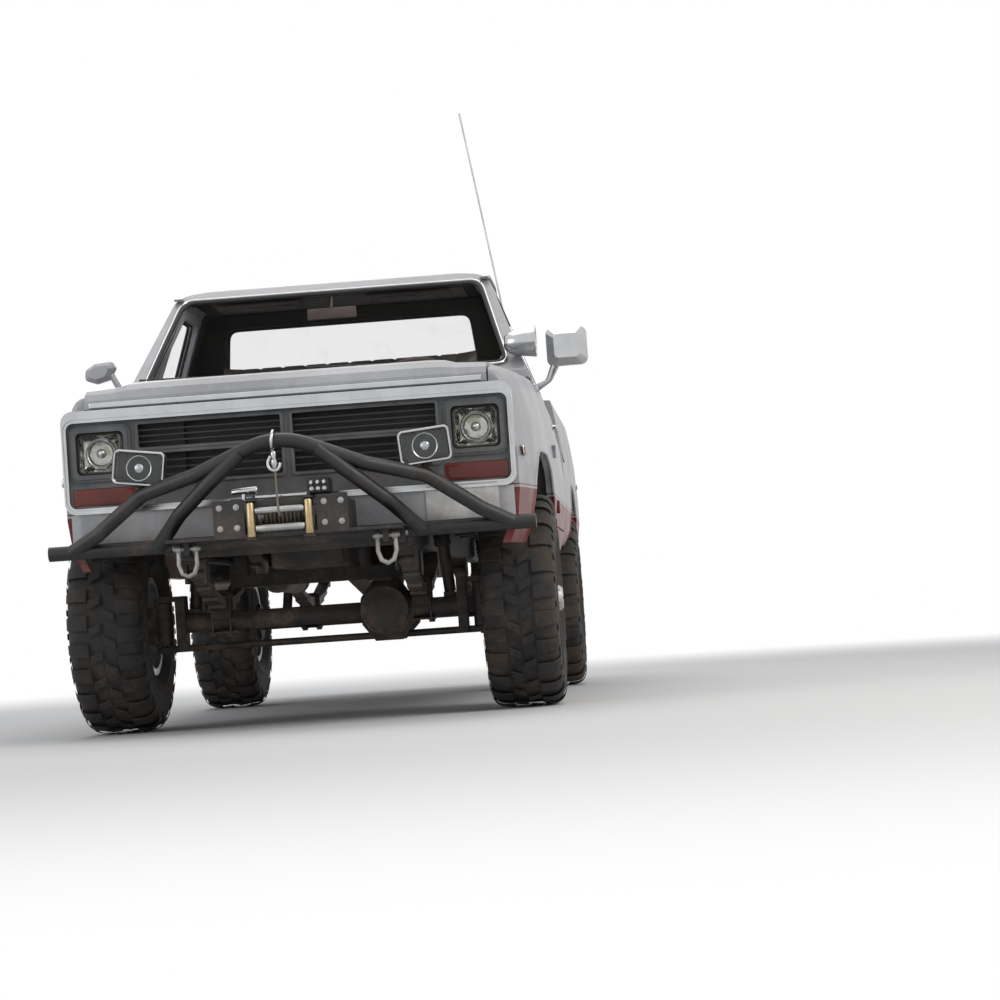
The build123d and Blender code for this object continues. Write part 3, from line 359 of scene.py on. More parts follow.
def paint(key, name, upper, lower=None, trim=None):
    k = Mat(key, name)
    fade = k.step(k.noise(2.2, 5, 0.6), 0.35, 0.7)
    base = k.mix(fade, tuple(c * 0.9 for c in upper), tuple(min(1, c * 1.12 + 0.02) for c in upper))
    chalk = k.step(k.noise(14, 6, 0.7), 0.52, 0.78)
    base = k.mix(k.mul(chalk, 0.22), base, (0.74, 0.73, 0.70))
    if lower:
        edge = k.add(k.z, k.mul(k.sub(k.noise(160, 2), 0.5), 0.0015))
        red = k.mix(fade, lower, tuple(c * 1.35 for c in lower))
        base = k.mix(k.less(edge, SPLIT), base, red)
        pin = k.less(k.size(k.sub(k.z, SPLIT + 0.012)), 0.003)
        base = k.mix(k.mul(pin, 0.85), base, (0.10, 0.012, 0.014))
    # stone chips and streaks of dirt
    chip = k.mul(k.less(k.voronoi(34), 0.075), k.step(k.noise(3.1, 3), 0.5, 0.62))
    base = k.mix(k.mul(chip, 0.75), base, (0.10, 0.075, 0.06))
    long = k.new("Mapping", k.co)
    long.inputs["Scale"].default_value = (6, 6, 0.7)
    streak = k.step(k.noise(6, 5, 0.6, co=long.outputs[0]), 0.5, 0.8)
    base = k.mix(k.mul(streak, 0.22), base, (0.24, 0.2, 0.165))
    coat = 0.12
    if trim:
        # lining of the cab, inside its walls, roof, screen and back
        half = k.sub(0.925, k.mul(k.most(0, k.sub(k.z, 1.36)), 0.36))
        front = k.add(-0.80, k.mul(k.most(0, k.sub(k.z, 1.49)), 1.0665))
        rear = k.sub(0.385, k.mul(k.most(0, k.sub(k.z, 1.44)), 0.2))
        inner = k.less(k.size(k.x), half)
        for low, up in ((front, k.y), (k.y, rear), (k.z, 1.985), (0.935, k.z)):
            inner = k.mul(inner, k.less(low, up))
        base = k.mix(inner, base, trim)
        coat = k.mul(k.sub(1, inner), coat)
    color, m = k.dust(base, 0.75, 0.12, low=0.62, high=1.12)
    rough = k.add(k.mul(m, 0.45), k.add(0.4, k.mul(chalk, 0.18)))
    if trim:
        rough = k.add(rough, k.mul(inner, 0.4), True)
    k.set(color=color, metal=0.15, rough=rough, coat=coat, coat_rough=0.25, spec=0.35,
          normal=k.bump(k.add(k.mul(k.noise(900, 2, 0.5), 0.015), k.noise(26, 4)), 0.08, 0.0015))


SILVER, MAROON = (0.35, 0.355, 0.37), (0.12, 0.012, 0.016)
paint("body_paint", "body_paint_twotone", SILVER, MAROON)
paint("valance_paint", "valance_paint", SILVER)
paint("cab_paint", "cab_paint_and_lining", SILVER, MAROON, (0.05, 0.042, 0.038))


def metal(key, name, color, rough, metallic, dusty, top=0.5, low=0.15, high=1.1, grain=120, bump=0.15, rust=0.0,
          spots=0.0, vary=0.22):
    k = Mat(key, name)
    v = k.step(k.noise(9, 5, 0.6), 0.3, 0.75)
    c = k.mix(v, tuple(x * (1 - vary) for x in color), tuple(min(1, x * (1 + vary)) for x in color))
    if rust:
        r = k.step(k.noise(17, 6, 0.68), 0.62 - 0.18 * rust, 0.8)
        c = k.mix(k.mul(r, min(1, 0.35 + rust)), c, (0.17, 0.075, 0.035))
    if spots:
        c = k.mix(k.mul(k.less(k.voronoi(60), 0.12), spots), c, (0.2, 0.17, 0.14))
    c, m = k.dust(c, dusty, top, low=low, high=high)
    k.set(color=c, metal=k.mul(k.sub(1, m), metallic), normal=k.bump(k.noise(grain, 5, 0.6), bump, 0.0012),
          rough=k.add(k.mul(m, 0.5), k.add(rough, k.mul(k.noise(40, 3), 0.16)), True))


# key, name, colour, roughness, metallic, dust; then the dust on top and from low to high, grain, bump and the rest
metal("chassis_black", "chassis_paint", (0.028, 0.027, 0.026), 0.5, 0.0, 0.9, 0.55)
metal("cast_metal", "cast_iron_dusty", (0.05, 0.045, 0.042), 0.6, 0.25, 0.95, 0.6, bump=0.35, grain=220, rust=0.35)
metal("spring_steel", "spring_steel_worn", (0.07, 0.065, 0.06), 0.5, 0.5, 0.9, 0.5, rust=0.45)
metal("exhaust_steel", "exhaust_heat_stained", (0.22, 0.19, 0.16), 0.42, 0.8, 0.6, 0.4, rust=0.6)
metal("wheel_silver", "wheel_alloy", (0.46, 0.46, 0.465), 0.28, 0.85, 0.55, 0.2, 0.1, 0.8, 300, 0.06, spots=0.25)
metal("chrome_trim", "chrome_pitted", (0.5, 0.51, 0.52), 0.12, 1.0, 0.3, 0.06, 0.6, 1.0, 90, 0.03, spots=0.12,
      vary=0.07)
metal("tube_black", "powder_coat", (0.012, 0.012, 0.013), 0.36, 0.0, 0.3, 0.12, 0.6, 1.2, 700, 0.12)
metal("winch_grey", "winch_casting", (0.11, 0.11, 0.115), 0.45, 0.35, 0.55, 0.3, 0.6, 1.1, 400, 0.2)
metal("zinc_steel", "zinc_plate", (0.38, 0.37, 0.355), 0.38, 0.85, 0.5, 0.25, 0.4, 1.0, 260, 0.1, rust=0.2)
metal("tank_black", "tank_coat", (0.035, 0.035, 0.036), 0.55, 0.0, 0.9)
metal("black_plastic", "black_moulded", (0.03, 0.03, 0.032), 0.5, 0.0, 0.3, 0.25, 0.5, 1.5, 800)
metal("dash_plastic", "dash_moulded", (0.10, 0.075, 0.068), 0.6, 0.0, 0.3, 0.35, 0.9, 1.6, 900, 0.3)
metal("antenna_white", "antenna_white", (0.7, 0.7, 0.68), 0.4, 0.0, 0.2, 0.1, 1.3, 1.8, 300, 0.05)
metal("brass", "roller_plated", (0.5, 0.39, 0.22), 0.26, 1.0, 0.3, 0.1, 0.6, 1.0, 90, 0.05)
metal("dark_rubber", "rubber_trim", (0.02, 0.02, 0.021), 0.62, 0.0, 0.35, 0.3, 0.6, 1.5, 500, 0.1)
metal("plate_white", "plate_paint", (0.6, 0.6, 0.585), 0.5, 0.0, 0.35, 0.1, 0.7, 1.1, 200, 0.04, spots=0.1)
metal("steel_bright", "bright_steel", (0.46, 0.46, 0.46), 0.28, 0.95, 0.3, 0.15, 0.5, 1.0, 300, 0.05)

# Grille: its frames are a lighter grey than its bars, which lie deeper; the near-black of the deeper bars is painted
# shade in the recesses
k = Mat("grille_grey", "grille_charcoal_painted_shade")
out_of_painted_shade = k.step(k.y, -2.2145, -2.2375)
worn = k.step(k.noise(9, 5, 0.6), 0.3, 0.75)
# near-black towards the back is painted shade; the grey frames in front are the plastic's own colour, worn
c = k.mix(out_of_painted_shade, (0.012, 0.012, 0.013), k.mix(worn, (0.095, 0.098, 0.1), (0.15, 0.153, 0.156)))
c, m = k.dust(c, 0.35, 0.3, low=0.8, high=1.3)
k.set(color=c, rough=k.add(0.5, k.mul(m, 0.3)), spec=0.3, normal=k.bump(k.noise(600, 5, 0.6), 0.1, 0.0012))

k = Mat("tyre_rubber", "tyre_rubber_dusty")
c = k.mix(k.step(k.noise(7, 5, 0.6), 0.3, 0.7), (0.016, 0.016, 0.017), (0.034, 0.032, 0.031))
fine = k.step(k.noise(90, 3, 0.6), 0.3, 0.7)
m = k.mul(k.mul(k.step(k.noise(4.2, 7, 0.7), 0.42, 0.66), 0.75), k.add(k.mul(fine, 0.5), 0.5))
k.set(color=k.mix(m, c, (0.115, 0.08, 0.056)), rough=k.add(0.68, k.mul(m, 0.3)), spec=0.35,
      normal=k.bump(k.add(k.noise(140, 4), k.mul(k.voronoi(260), 0.4)), 0.25, 0.001))

# Window glass as a thin film, since panes that bend light leave noise on the cab's lining
k = Mat("window_glass", "window_glass_dusty")
smear = k.step(k.noise(3, 6, 0.65, 0.6), 0.5, 0.85)
k.set(color=k.mix(smear, (0.03, 0.036, 0.036), (0.13, 0.115, 0.095)), spec=0.0, rough=0.6,
      alpha=k.add(0.05, k.mul(smear, 0.06)))

k = Mat("lamp_clear", "lamp_lens_fluted")
k.set(color=(0.9, 0.92, 0.92), trans=1.0, ior=1.3, rough=0.03, spec=0.3,
      normal=k.bump(k.add(k.wave(46, "X"), k.mul(k.wave(30, "Z"), 0.6)), 0.1, 0.0008))

for key, deep, pale, pitch, axis in (("red", (0.11, 0.008, 0.004), (0.16, 0.016, 0.006), 80, "Z"),
                                     ("amber", (0.26, 0.028, 0.004), (0.36, 0.05, 0.006), 90, "X")):
    k = Mat("lamp_" + key, "lamp_lens_" + key)
    k.set(color=k.mix(k.step(k.noise(8, 3), 0.3, 0.7), deep, pale), rough=0.25, coat=0.5, coat_rough=0.08, spec=0.3,
          normal=k.bump(k.wave(pitch, axis), 0.5, 0.0015))

# Mirror coats: scale of the tarnish, its two colours, roughness, scale and strength of the bump
for key, name, scale, clean, dull, rough, ripple, deep in (
        ("reflector", "reflector_silvered", 20, (0.46, 0.46, 0.43), (0.26, 0.25, 0.2), 0.14, 40, 0.1),
        ("mirror_glass", "mirror_silver", 12, (0.62, 0.63, 0.64), (0.5, 0.51, 0.51), 0.05, 30, 0.02)):
    k = Mat(key, name)
    k.set(color=k.mix(k.step(k.noise(scale, 3), 0.4, 0.7), clean, dull), metal=1.0, rough=rough,
          normal=k.bump(k.noise(ripple, 2), deep, 0.001))

k = Mat("seat_cloth", "seat_cloth_woven")
weave = k.add(k.mul(k.wave(420, "X"), k.wave(420, "Y")), k.mul(k.wave(420, "X"), k.wave(420, "Z")))
c = k.mix(k.step(k.noise(6, 5, 0.6), 0.4, 0.75), (0.16, 0.14, 0.125), (0.105, 0.09, 0.08))
k.set(color=k.mix(k.mul(weave, 0.3), c, (0.22, 0.2, 0.18)), rough=0.92, sheen=0.25, normal=k.bump(weave, 0.5, 0.0012))

k = Mat("vinyl", "seat_vinyl")
k.set(color=k.mix(k.step(k.noise(11, 5, 0.6), 0.35, 0.7), (0.1, 0.08, 0.07), (0.14, 0.115, 0.1)), rough=0.48,
      normal=k.bump(k.voronoi(700), 0.35, 0.0008))

k = Mat("rope", "rope_fibre")
strands = k.wave(120, "DIAGONAL", 1.5)
k.set(color=k.mix(strands, (0.16, 0.13, 0.1), (0.34, 0.29, 0.22)), rough=0.85, normal=k.bump(strands, 0.8, 0.002))

for name, o in frame["nodes"].items():
    slot = next(s["material_slot"] for s in frame["record"]["subparts"] if s["node"] == name)
    for part in o.material_slots:
        part.material = M[{"cab": "cab_paint", "valance": "valance_paint"}.get(name, slot)]

b = Mesh()


# Tyres
# Outer surface of the lugs from the crown's middle to the sidewall: across, radius
CROWN = [(0, 444.4), (45, 444.2), (85, 443), (110, 440.5), (128, 434), (141, 424), (150, 409), (155.5, 390),
         (157.8, 365), (157.5, 335)]
# Rest of the carcass, from the tread's foot to the bead: across, radius
WALL = [(153, 352), (155.5, 330), (156.5, 305), (155, 282), (158, 276), (158, 266), (152, 258), (144, 240),
        (134, 226), (124, 216), (112, 214), (111, 192)]
# Height of a lug at the crown, which falls off past the shoulder, and the number of pitches round
LUG, SHOULDER, PITCHES = 15.5, 105, 24


def crown_at(s):
    """Point and unit normal of the lugs' outer surface at arc length s from the crown's middle."""
    at = 0
    for (a, b), (c, d) in zip(CROWN, CROWN[1:]):
        step = hypot(c - a, d - b)
        if s <= at + step or (c, d) == CROWN[-1]:
            t = (s - at) / step
            return a + (c - a) * t, b + (d - b) * t, -(d - b) / step, (c - a) / step
        at += step


def lug_depth(s):
    return max(3.5, LUG - max(0, s - SHOULDER) * 0.115)


def make_tyre():
    b = Mesh()
    n = 120
    foot = []
    for s in (0, 30, 60, 85, 105, 122, 138, 155, 172, 190, 208, 224):
        x, r, nx, nr = crown_at(s)
        d = lug_depth(s)
        foot.append((x - nx * d, r - nr * d))
    half = foot + [w for w in WALL if w[1] < foot[-1][1] - 3]
    prof = [(-x, r) for x, r in half[:0:-1]] + half
    b.lathe(prof, (0, 0, 0), LEFT, n)

    def block(side, s0, s1, left, right, cuts=6):
        """Tread block between arc lengths s0 and s1; left and right give its edges' angles at a share of its length."""
        rings = []
        # depth below the lug's top, as millimetres and a share of the lug's height, and how far the outline spreads
        for under, share, grow in ((2, 0, 2.6), (0, 1 - 0.86, 0.4), (0, 0, -1.6)):
            rows = [], []
            for k in range(cuts + 1):
                t = k / cuts
                s = s0 + (s1 - s0) * t + (-grow if k == 0 else grow if k == cuts else 0)
                x, r, nx, nr = crown_at(abs(s))
                if s < 0:
                    x, nx = -x, -nx
                h = lug_depth(abs(s)) * share + under
                px, pr = x - nx * h, r - nr * h
                for row, edge, sign in zip(rows, (left, right), (-1, 1)):
                    a = radians(edge(t)) + sign * grow / pr
                    row.append((px * side, pr * sin(a), pr * cos(a)))
            rings.append(rows[0] + rows[1][::-1])
        m = len(rings[0])
        top = len(b.v) + 2 * m
        b.loft(rings, first=False, last=False)
        b.f += [(top + k, top + k + 1, top + m - 2 - k, top + m - 1 - k) for k in range(m // 2 - 1)]

    step = 360 / PITCHES
    for side in (1, -1):
        for k in range(PITCHES):
            a = step * k + (step / 2 if side < 0 else 0)
            jit = (0.25, -0.2, 0.1)[k % 3]
            # shoulder lug, long ones reaching down the sidewall
            end = 205 if k % 2 else 178
            wide = 4.1 if k % 2 else 3.7
            block(side, 62, end, lambda t: a - wide + 1.2 * t + jit, lambda t: a + wide - 1.0 * t * t + jit, 8)
            # middle block, slanted, meeting the other side's in a chevron
            block(side, 5, 52, lambda t: a - 3.2 + 3.4 * t + 3.6, lambda t: a + 3.6 + 3.0 * t + 1.4, 3)
            # small biter on the sidewall between lugs
            block(side, 186, 212, lambda t: a + step / 2 - 1.6, lambda t: a + step / 2 + 1.6, 3)
    # raised rings of the sidewall
    for side in (1, -1):
        for r, x in ((318, 156.2), (291, 155.8)):
            b.lathe([(side * (x + dx), r + dr) for dx, dr in ((-2.5, 3), (1.4, 1.4), (1.4, -1.4), (-2.5, -3))],
                    (0, 0, 0), LEFT, n)
    return b


TYRE = make_tyre()
# where, side, axle and the tyre's turn on its rim; front hubs have a locking dial, rear ones a cap
for where, s, y, turn in (("front_left", 1, AXLE_F, 4), ("front_right", -1, AXLE_F, 11),
                          ("rear_left", 1, AXLE_R, 7), ("rear_right", -1, AXLE_R, 1)):
    wheel = "wheel_" + where
    ca, sa = cos(radians(turn)), sin(radians(turn))
    b.f = TYRE.f
    b.v = [(s * (HALF_TRACK + x), y + s * (py * ca + pz * sa), AXLE_Z + (pz * ca - py * sa)) for x, py, pz in TYRE.v]
    b.done("mud_tyre_" + where, "tyre_rubber", wheel, rep="tyre_" + where, smooth=30)

    def bolts(x, radius, n, start, r, h):
        """Circle of n bolts of size r, h round the wheel's axis."""
        for k in range(n):
            a = radians(360 / n * k + start)
            b.hexbolt((s * x, y + radius * sin(a), AXLE_Z + radius * cos(a)), (s, 0, 0), r, h)

    bolts(826.5, 82, 8, 0, 10.5, 20)
    b.done("lug_nuts_" + where, "steel_bright", wheel)
    front = y == AXLE_F
    end = 1022 if front else 985
    b.lathe([(-15, 44.6), (-15, 47), (-7, 47), (-6, 42), (-0.5, 40), (-0.5, 0)] if front else
            [(-9, 44.5), (-9, 47), (-1, 47), (0.2, 45), (0.2, 30), (-2, 27), (-2, 0)],
            (s * end, y, AXLE_Z), (s, 0, 0), 40)
    if front:
        bolts(end - 17, 50, 6, 10, 5, 7)
        b.box(-34, 34, -6, 6, -4, 1, mat=placed(BACK, UP, (s, 0, 0), (s * (end - 1), y, AXLE_Z)))
    else:
        bolts(end - 15.5, 46, 8, 10, 5, 7)
    # valve
    b.tube([(s * 836, y + 158, AXLE_Z + 40), (s * 852, y + 160, AXLE_Z + 41), (s * 866, y + 160, AXLE_Z + 41)],
           [5, 4, 3.6], 10)
    b.done("hub_details_" + where, "chrome_trim", wheel)


# Lamps in the grille
def lamp_glass(x0, x1, z0, z1, r, y, bulge, back=False):
    """Pillowed lens facing the front, or the back."""
    cx, cz = (x0 + x1) / 2, (z0 + z1) / 2
    rings = []
    for share, depth in ((1, 0), (0.97, 0.45), (0.86, 0.75), (0.6, 0.93), (0.3, 1)):
        w, h = (x1 - x0) / 2 * share, (z1 - z0) / 2 * share
        yy = y + bulge * depth if back else y - bulge * depth
        rings.append([(px, yy, pz) for px, pz in rrect(cx - w, cx + w, cz - h, cz + h, r * share, 10)])
    b.loft(rings, first=False)


def frame_ring(x0, x1, z0, z1, r, y, rows, n=8, place=None):
    """Swept frame: rows are (growth of the outline, y offset)."""
    place = place or (lambda x, y, z: (x, y, z))
    b.loft([[place(px, y + dy, pz) for px, pz in rrect(x0 - g, x1 + g, z0 - g, z1 + g, max(1, r + g), n)]
            for g, dy in rows], close=True)


# Headlamps with their reflectors, whose backs stand at BOWL_Y, and turn lamps below
BOWL_Y = 27
for s, side in SIDES:
    x0, x1 = sorted((s * 655, s * 848))
    z0, z1 = 1056, 1226
    cx, cz = (x0 + x1) / 2, (z0 + z1) / 2
    glass = (x0 + 11, x1 - 11, z0 + 10, z1 - 10, 20)
    lamp_glass(*glass, 6, 7)
    b.done("headlamp_lens_" + side, "lamp_clear", rep="front_lamps")
    frame_ring(*glass, 6, [(0, 0), (-8, 6), (-26, 17), (-44, 22), (-46, 23), (-3, 23.5), (0.5, 1)])
    b.lathe([(0, 0), (0, 18), (10, 20), (15, 15), (17, 0)], (cx, BOWL_Y, cz), AHEAD, 24)
    b.done("headlamp_reflector_" + side, "reflector")
    b.box(x0 + 10, x1 - 10, BOWL_Y, 29.7, z0 + 10, z1 - 10, 1)
    b.done("headlamp_back_" + side, "reflector")
    frame_ring(x0 + 9, x1 - 9, z0 + 8, z1 - 8, 20, 4,
               [(-1, 1), (-1, -2), (2, -4), (5, -3.5), (8.6, 0), (8.6, 20), (0, 20)])
    b.done("headlamp_gasket_" + side, "dark_rubber")
    b.lathe([(2, 52), (10, 58), (14, 56), (12, 51), (4, 46)], (cx, BOWL_Y, cz), AHEAD, 48, close=True)
    b.lathe([(16.5, 0), (16.5, 12), (18, 10), (19, 0)], (cx, BOWL_Y, cz), AHEAD, 24)
    b.done("headlamp_ring_" + side, "chrome_trim")
    x0, x1 = sorted((s * 617, s * 875))
    lamp_glass(x0, x1, 933, 1001, 7, 2, 6)
    b.box(x0, x1, 2, 25, 933, 1001, 1)
    b.done("turn_lens_" + side, "lamp_red")

# Number plate, blank, on the valance at the vehicle's left
b.plate(rrect(536, 826, 762, 916, 10), 2.2, 0.7, mat=placed(LEFT, UP, AHEAD, (0, -17, 0)))
b.done("blank_plate", "plate_white")
for x in (590, 772):
    for z in (775, 903):
        b.hexbolt((x, -19.2, z), AHEAD, 4.5, 5)
b.done("plate_bolts", "steel_bright")

# Windscreen: its plane rises back from the cowl
SLOPE = (1905 - 1392) / (1975 - 1494)


def screen(x, z, off=0.0):
    """Point on the windscreen's outer plane, off millimetres in front of it."""
    k = hypot(1, SLOPE)
    return (x, 1392 + (z - 1494) * SLOPE - off / k, z + off * SLOPE / k)


# gasket and bright trim: growth of the opening, height over the plane and radius
for name, mat, grow, off, r in (("gasket", "dark_rubber", 4, 3, 11), ("bright_trim", "chrome_trim", 13, 9, 5.5)):
    (xa, za), (xb, zb) = (818 + grow, 1522 - grow), (690 + grow, 1938 + grow)
    opening = loop_of([(-xa, za), (xa, za), (xb, zb), (-xb, zb)], 58, 6)
    b.tube([screen(p.x, p.y, off) for p in opening], r, 8, closed=True)
    b.done("windscreen_" + name, mat)

# Wipers
for x, tilt in ((430, 8), (-330, 4)):
    b.knob([(0, 17), (16, 14), (20, 8)], (x, 1372, 1487), (0, -0.5, 1), 16)
    tip = screen(x - 300, 1528 + tilt, 16)
    mid = screen(x - 160, 1520 + tilt, 22)
    b.tube([(x, 1368, 1500), (x - 60, 1376, 1514), mid, tip], [7, 6, 5, 4], 8)
    a, c = screen(x - 80, 1540, 12), screen(x - 520, 1548 + tilt, 12)
    b.tube([a, c], 5, 6)
    for t in (0.15, 0.5, 0.85):
        p = Vector(a).lerp(Vector(c), t)
        b.box(p.x - 8, p.x + 8, p.y - 7, p.y + 4, p.z - 4, p.z + 7, 1.5)
b.done("wipers", "black_plastic")

# Surfaces of the body: half width by height, and how far the wing's flank is drawn in towards the nose
FLANK = [(675, 950), (760, 985), (880, 1000), (1010, 1000), (1190, 985), (1340, 955), (1950, 740)]
BED_SIDE = [(720, 955), (790, 988), (880, 1000), (1010, 1000), (1190, 990), (1340, 972), (1432, 955)]
NARROW = [(32, 92), (190, 62), (380, 34), (760, 10), (1324, 0), (1500, 0)]


def round_rings(rows, place):
    """Rings of rounded rectangles: rows are half width, half height, corner radius and depth."""
    return [[place(px, d, pz) for px, pz in rrect(-w, w, -h, h, r, 6)] for w, h, r, d in rows]


# Lamps on the tube bumper
for s, side, tilt, z in ((1, "left", -5, 1066), (-1, "right", 8, 1058)):
    x, y = s * 562, -180
    at = Matrix.Translation((x, y, z)) @ Matrix.Rotation(radians(tilt), 4, "Y")

    def place(px, d, pz):
        return at @ Vector((px, d, pz))

    ahead = at.to_3x3() @ Vector(AHEAD)
    b.loft(round_rings([(56, 36, 16, 40), (60, 40, 20, 39), (99, 65, 22, 3), (102, 68, 22, 0), (102, 68, 22, -22),
                        (98, 64, 20, -24)], place))
    for fin in range(-60, 61, 30):
        b.loft([[place(fin + a, d, pz) for a, pz in ((-2, -44), (2, -44), (2, 44), (-2, 44))] for d in (36, 22)])
    b.tube([(x, y, 941), (x, y, z - 56)], 10.5, 14)
    b.hexbolt((x, y, 984), UP, 17, 12)
    b.hexbolt((x, y, z - 72), (0, 0, -1), 17, 12)
    b.loft([[(x + a, y + d, zz) for a, d in ((-24, -16), (24, -16), (24, 16), (-24, 16))] for zz in (z - 72, z - 66)])
    b.done("aux_lamp_body_" + side, "black_plastic", rep="aux_lamps")
    rim = [(94, 60, 15, -33), (92, 58, 14, -39), (95, 61, 16, -42.5), (100, 66, 20, -42.5), (103, 69, 22, -37),
           (103, 69, 22, -20), (100, 66, 20, -18), (94, 60, 15, -24)]
    b.loft(round_rings(rim, place), close=True)
    for k in (-1, 1):
        b.hexbolt(place(k * 98, -30, 0), at.to_3x3() @ Vector((k, 0, 0)), 5, 5)
    b.lathe([(10, 47), (22, 52), (26, 50), (24, 46), (12, 42)], place(0, 0, 0), ahead, 48, close=True)
    b.lathe([(6, 0), (6, 15), (24, 17), (28, 11), (29, 0)], place(0, 0, 0), ahead, 28)
    b.done("aux_lamp_rim_" + side, "chrome_trim")
    b.loft(round_rings([(94, 60, 14, -32), (91, 57, 14, -36), (80, 47, 12, -39), (50, 26, 9, -40.5), (20, 9, 4, -41)],
                       place))
    b.done("aux_lamp_lens_" + side, "lamp_clear")
    b.loft(round_rings([(94, 60, 14, -31), (86, 54, 12, -20), (66, 50, 24, -8), (40, 36, 30, -1), (14, 12, 10, 0)],
                       place), first=False)
    b.lathe([(0, 20), (8, 21), (20, 17), (24, 9), (25, 0)], place(0, 0, 0), ahead, 24)
    b.done("aux_lamp_reflector_" + side, "reflector")

# Spotlight at the pillar
SPOT = (956, 1405, 1602)
bell = [(-144, 0), (-144, 16), (-141, 27), (-132, 39), (-116, 49), (-94, 56.5), (-68, 62), (-38, 66), (-18, 68),
        (-11, 70), (-1, 70), (2, 67), (1, 63), (-5, 62)]
b.lathe(bell, SPOT, LEFT, 56)
b.tube(rounded([(868, 1405, 1602), (858, 1470, 1598), (846, 1556, 1592)], 30), 10, 14)
b.lathe([(0, 0), (0, 19), (8, 19), (14, 13), (22, 11)], (846, 1557, 1592), (0.02, -1, 0), 24)
b.done("spotlight_bell", "chrome_trim")
b.lathe([(-8, 62.5), (-4, 58), (-1, 44), (0.5, 24), (1, 0)], SPOT, LEFT, 48)
b.done("spotlight_lens", "lamp_clear")
b.lathe([(-9, 61), (-26, 55), (-44, 40), (-54, 20), (-56, 0)], SPOT, LEFT, 48)
b.lathe([(-55, 0), (-55, 9), (-36, 9), (-30, 6), (-28, 0)], SPOT, LEFT, 20)
b.done("spotlight_reflector", "reflector")

# Mirrors' glass and ball joints
for body, x, z, w, h, r in (("door_left", 1087, 1588, 82, 76, 28), ("door_right", -1050, 1622, 46, 34, 20)):
    b.loft([[(x + px, 1600 + d, z + pz) for px, pz in rrect(-w, w, -h, h, r, 6)] for d in (25.5, 27.5)])
    b.done("mirror_glass_" + body[5:], "mirror_glass", body)
for body, pts in (("door_left", [(930, 1600, 1412), (920, 1670, 1402)]), ("door_right", [(-940, 1600, 1420)])):
    for px, py, pz in pts:
        b.lathe([(-8, 0), (-8, 20), (2, 20), (8, 15), (11, 10)], (px, py, pz), (0.8 if px > 0 else -0.8, 0, 0.6), 20)
    b.done("mirror_feet_" + body[5:], "chrome_trim", body)

# Winch: gearbox, motor, drum with its rope, control box; the drum's axis lies at WY, WZ
WY, WZ = -215, 838
GEARBOX = [(98, 66), (103, 73), (112, 73.6), (114, 70), (120, 70), (122, 73.6), (150, 73.6), (152, 70), (158, 70),
           (160, 73.6), (206, 73.6), (210, 66), (222, 62), (228, 50), (235.5, 44)]
MOTOR = [(98, 68), (102, 73.6), (110, 73.6), (112, 66), (212, 66), (214, 70), (224, 70), (228, 64), (235.5, 60)]
b.knob(GEARBOX, (0, WY, WZ), (-1, 0, 0), 48)
b.knob(MOTOR, (0, WY, WZ), LEFT, 48)
for k in range(10):
    a = radians(36 * k + 9)
    b.hexbolt((-224, WY + 54 * cos(a), WZ + 54 * sin(a)), (-1, 0, 0), 5, 7)
    b.lathe([(0, 3.4), (112, 3.4)], (106, WY + 68.5 * cos(a), WZ + 68.5 * sin(a)), LEFT, 8)
for s in (-1, 1):
    b.box(s * 104, s * 226, WY - 40, WY + 40, 764, 786, 4)
    for x in (s * 124, s * 208):
        b.hexbolt((x, WY - 46, 764.5), UP, 8, 8)
b.done("winch_housings", "winch_grey", rep="winch")
for s in (-1, 1):
    b.knob([(84, 70), (86, 72), (96, 72), (97.5, 70)], (0, WY, WZ), (s, 0, 0), 48)
b.lathe([(-86, 40), (86, 40)], (0, WY, WZ), LEFT, 32)
b.done("winch_drum", "steel_bright")
# two layers of rope on the drum, and the run to the hook: half width, radius, turns, start and the rope's radius
for half, r, turns, start, rope in ((78, 46, 15, 0, 5.1), (70, 55, 9, 1, 4.9)):
    n = turns * 24
    b.tube([(-half + 2 * half * t / n, WY + r * cos(2 * pi * t / 24 + start), WZ + r * sin(2 * pi * t / 24 + start))
            for t in range(n + 1)], rope, 7)
b.tube(rounded([(2, -262, 878), (1, -300, 850), (0, -338, 824), (-1, -372, 838), (-3, -371, 872), (-12, -318, 976),
                (-15, -300, 1008)], 18, 5), 4.4, 10)
b.done("winch_rope", "rope")
for y, z in ((WY - 66, WZ + 68), (WY + 66, WZ + 60)):
    b.tube([(-98, y, z), (98, y, z)], 7.6, 16)
    for s in (-1, 1):
        b.hexbolt((s * 98, y, z), (s, 0, 0), 8, 10)
# clutch lever over the gearbox
b.lathe([(0, 0), (0, 11), (4, 14), (96, 15), (102, 12), (104, 0)], (-196, WY - 40, WZ + 96), (1, 0, 0.04), 24)
b.tube([(-150, WY - 40, WZ + 62), (-150, WY - 40, WZ + 92)], 9, 14)
# studs on the control box
for x in (118, 143, 168):
    b.hexbolt((x, WY - 54, WZ + 88), AHEAD, 5.5, 10)
    b.knob([(0, 9), (14, 9), (18, 6)], (x, WY - 53, WZ + 112), AHEAD, 12)
b.done("winch_bright_parts", "chrome_trim")
b.box(97, 189, WY - 54, WY + 54, WZ + 70, WZ + 128, 7, 3)
b.box(100, 186, WY - 50, WY + 50, WZ + 127, WZ + 131, 2, 2)
b.box(110, 176, WY - 30, WY + 30, WZ + 52, WZ + 74, 3)
for s in (-1, 1):
    b.box(s * 99, s * 112, WY - 74, WY, WZ + 40, WZ + 78, 2)
b.done("winch_control_box", "black_plastic")

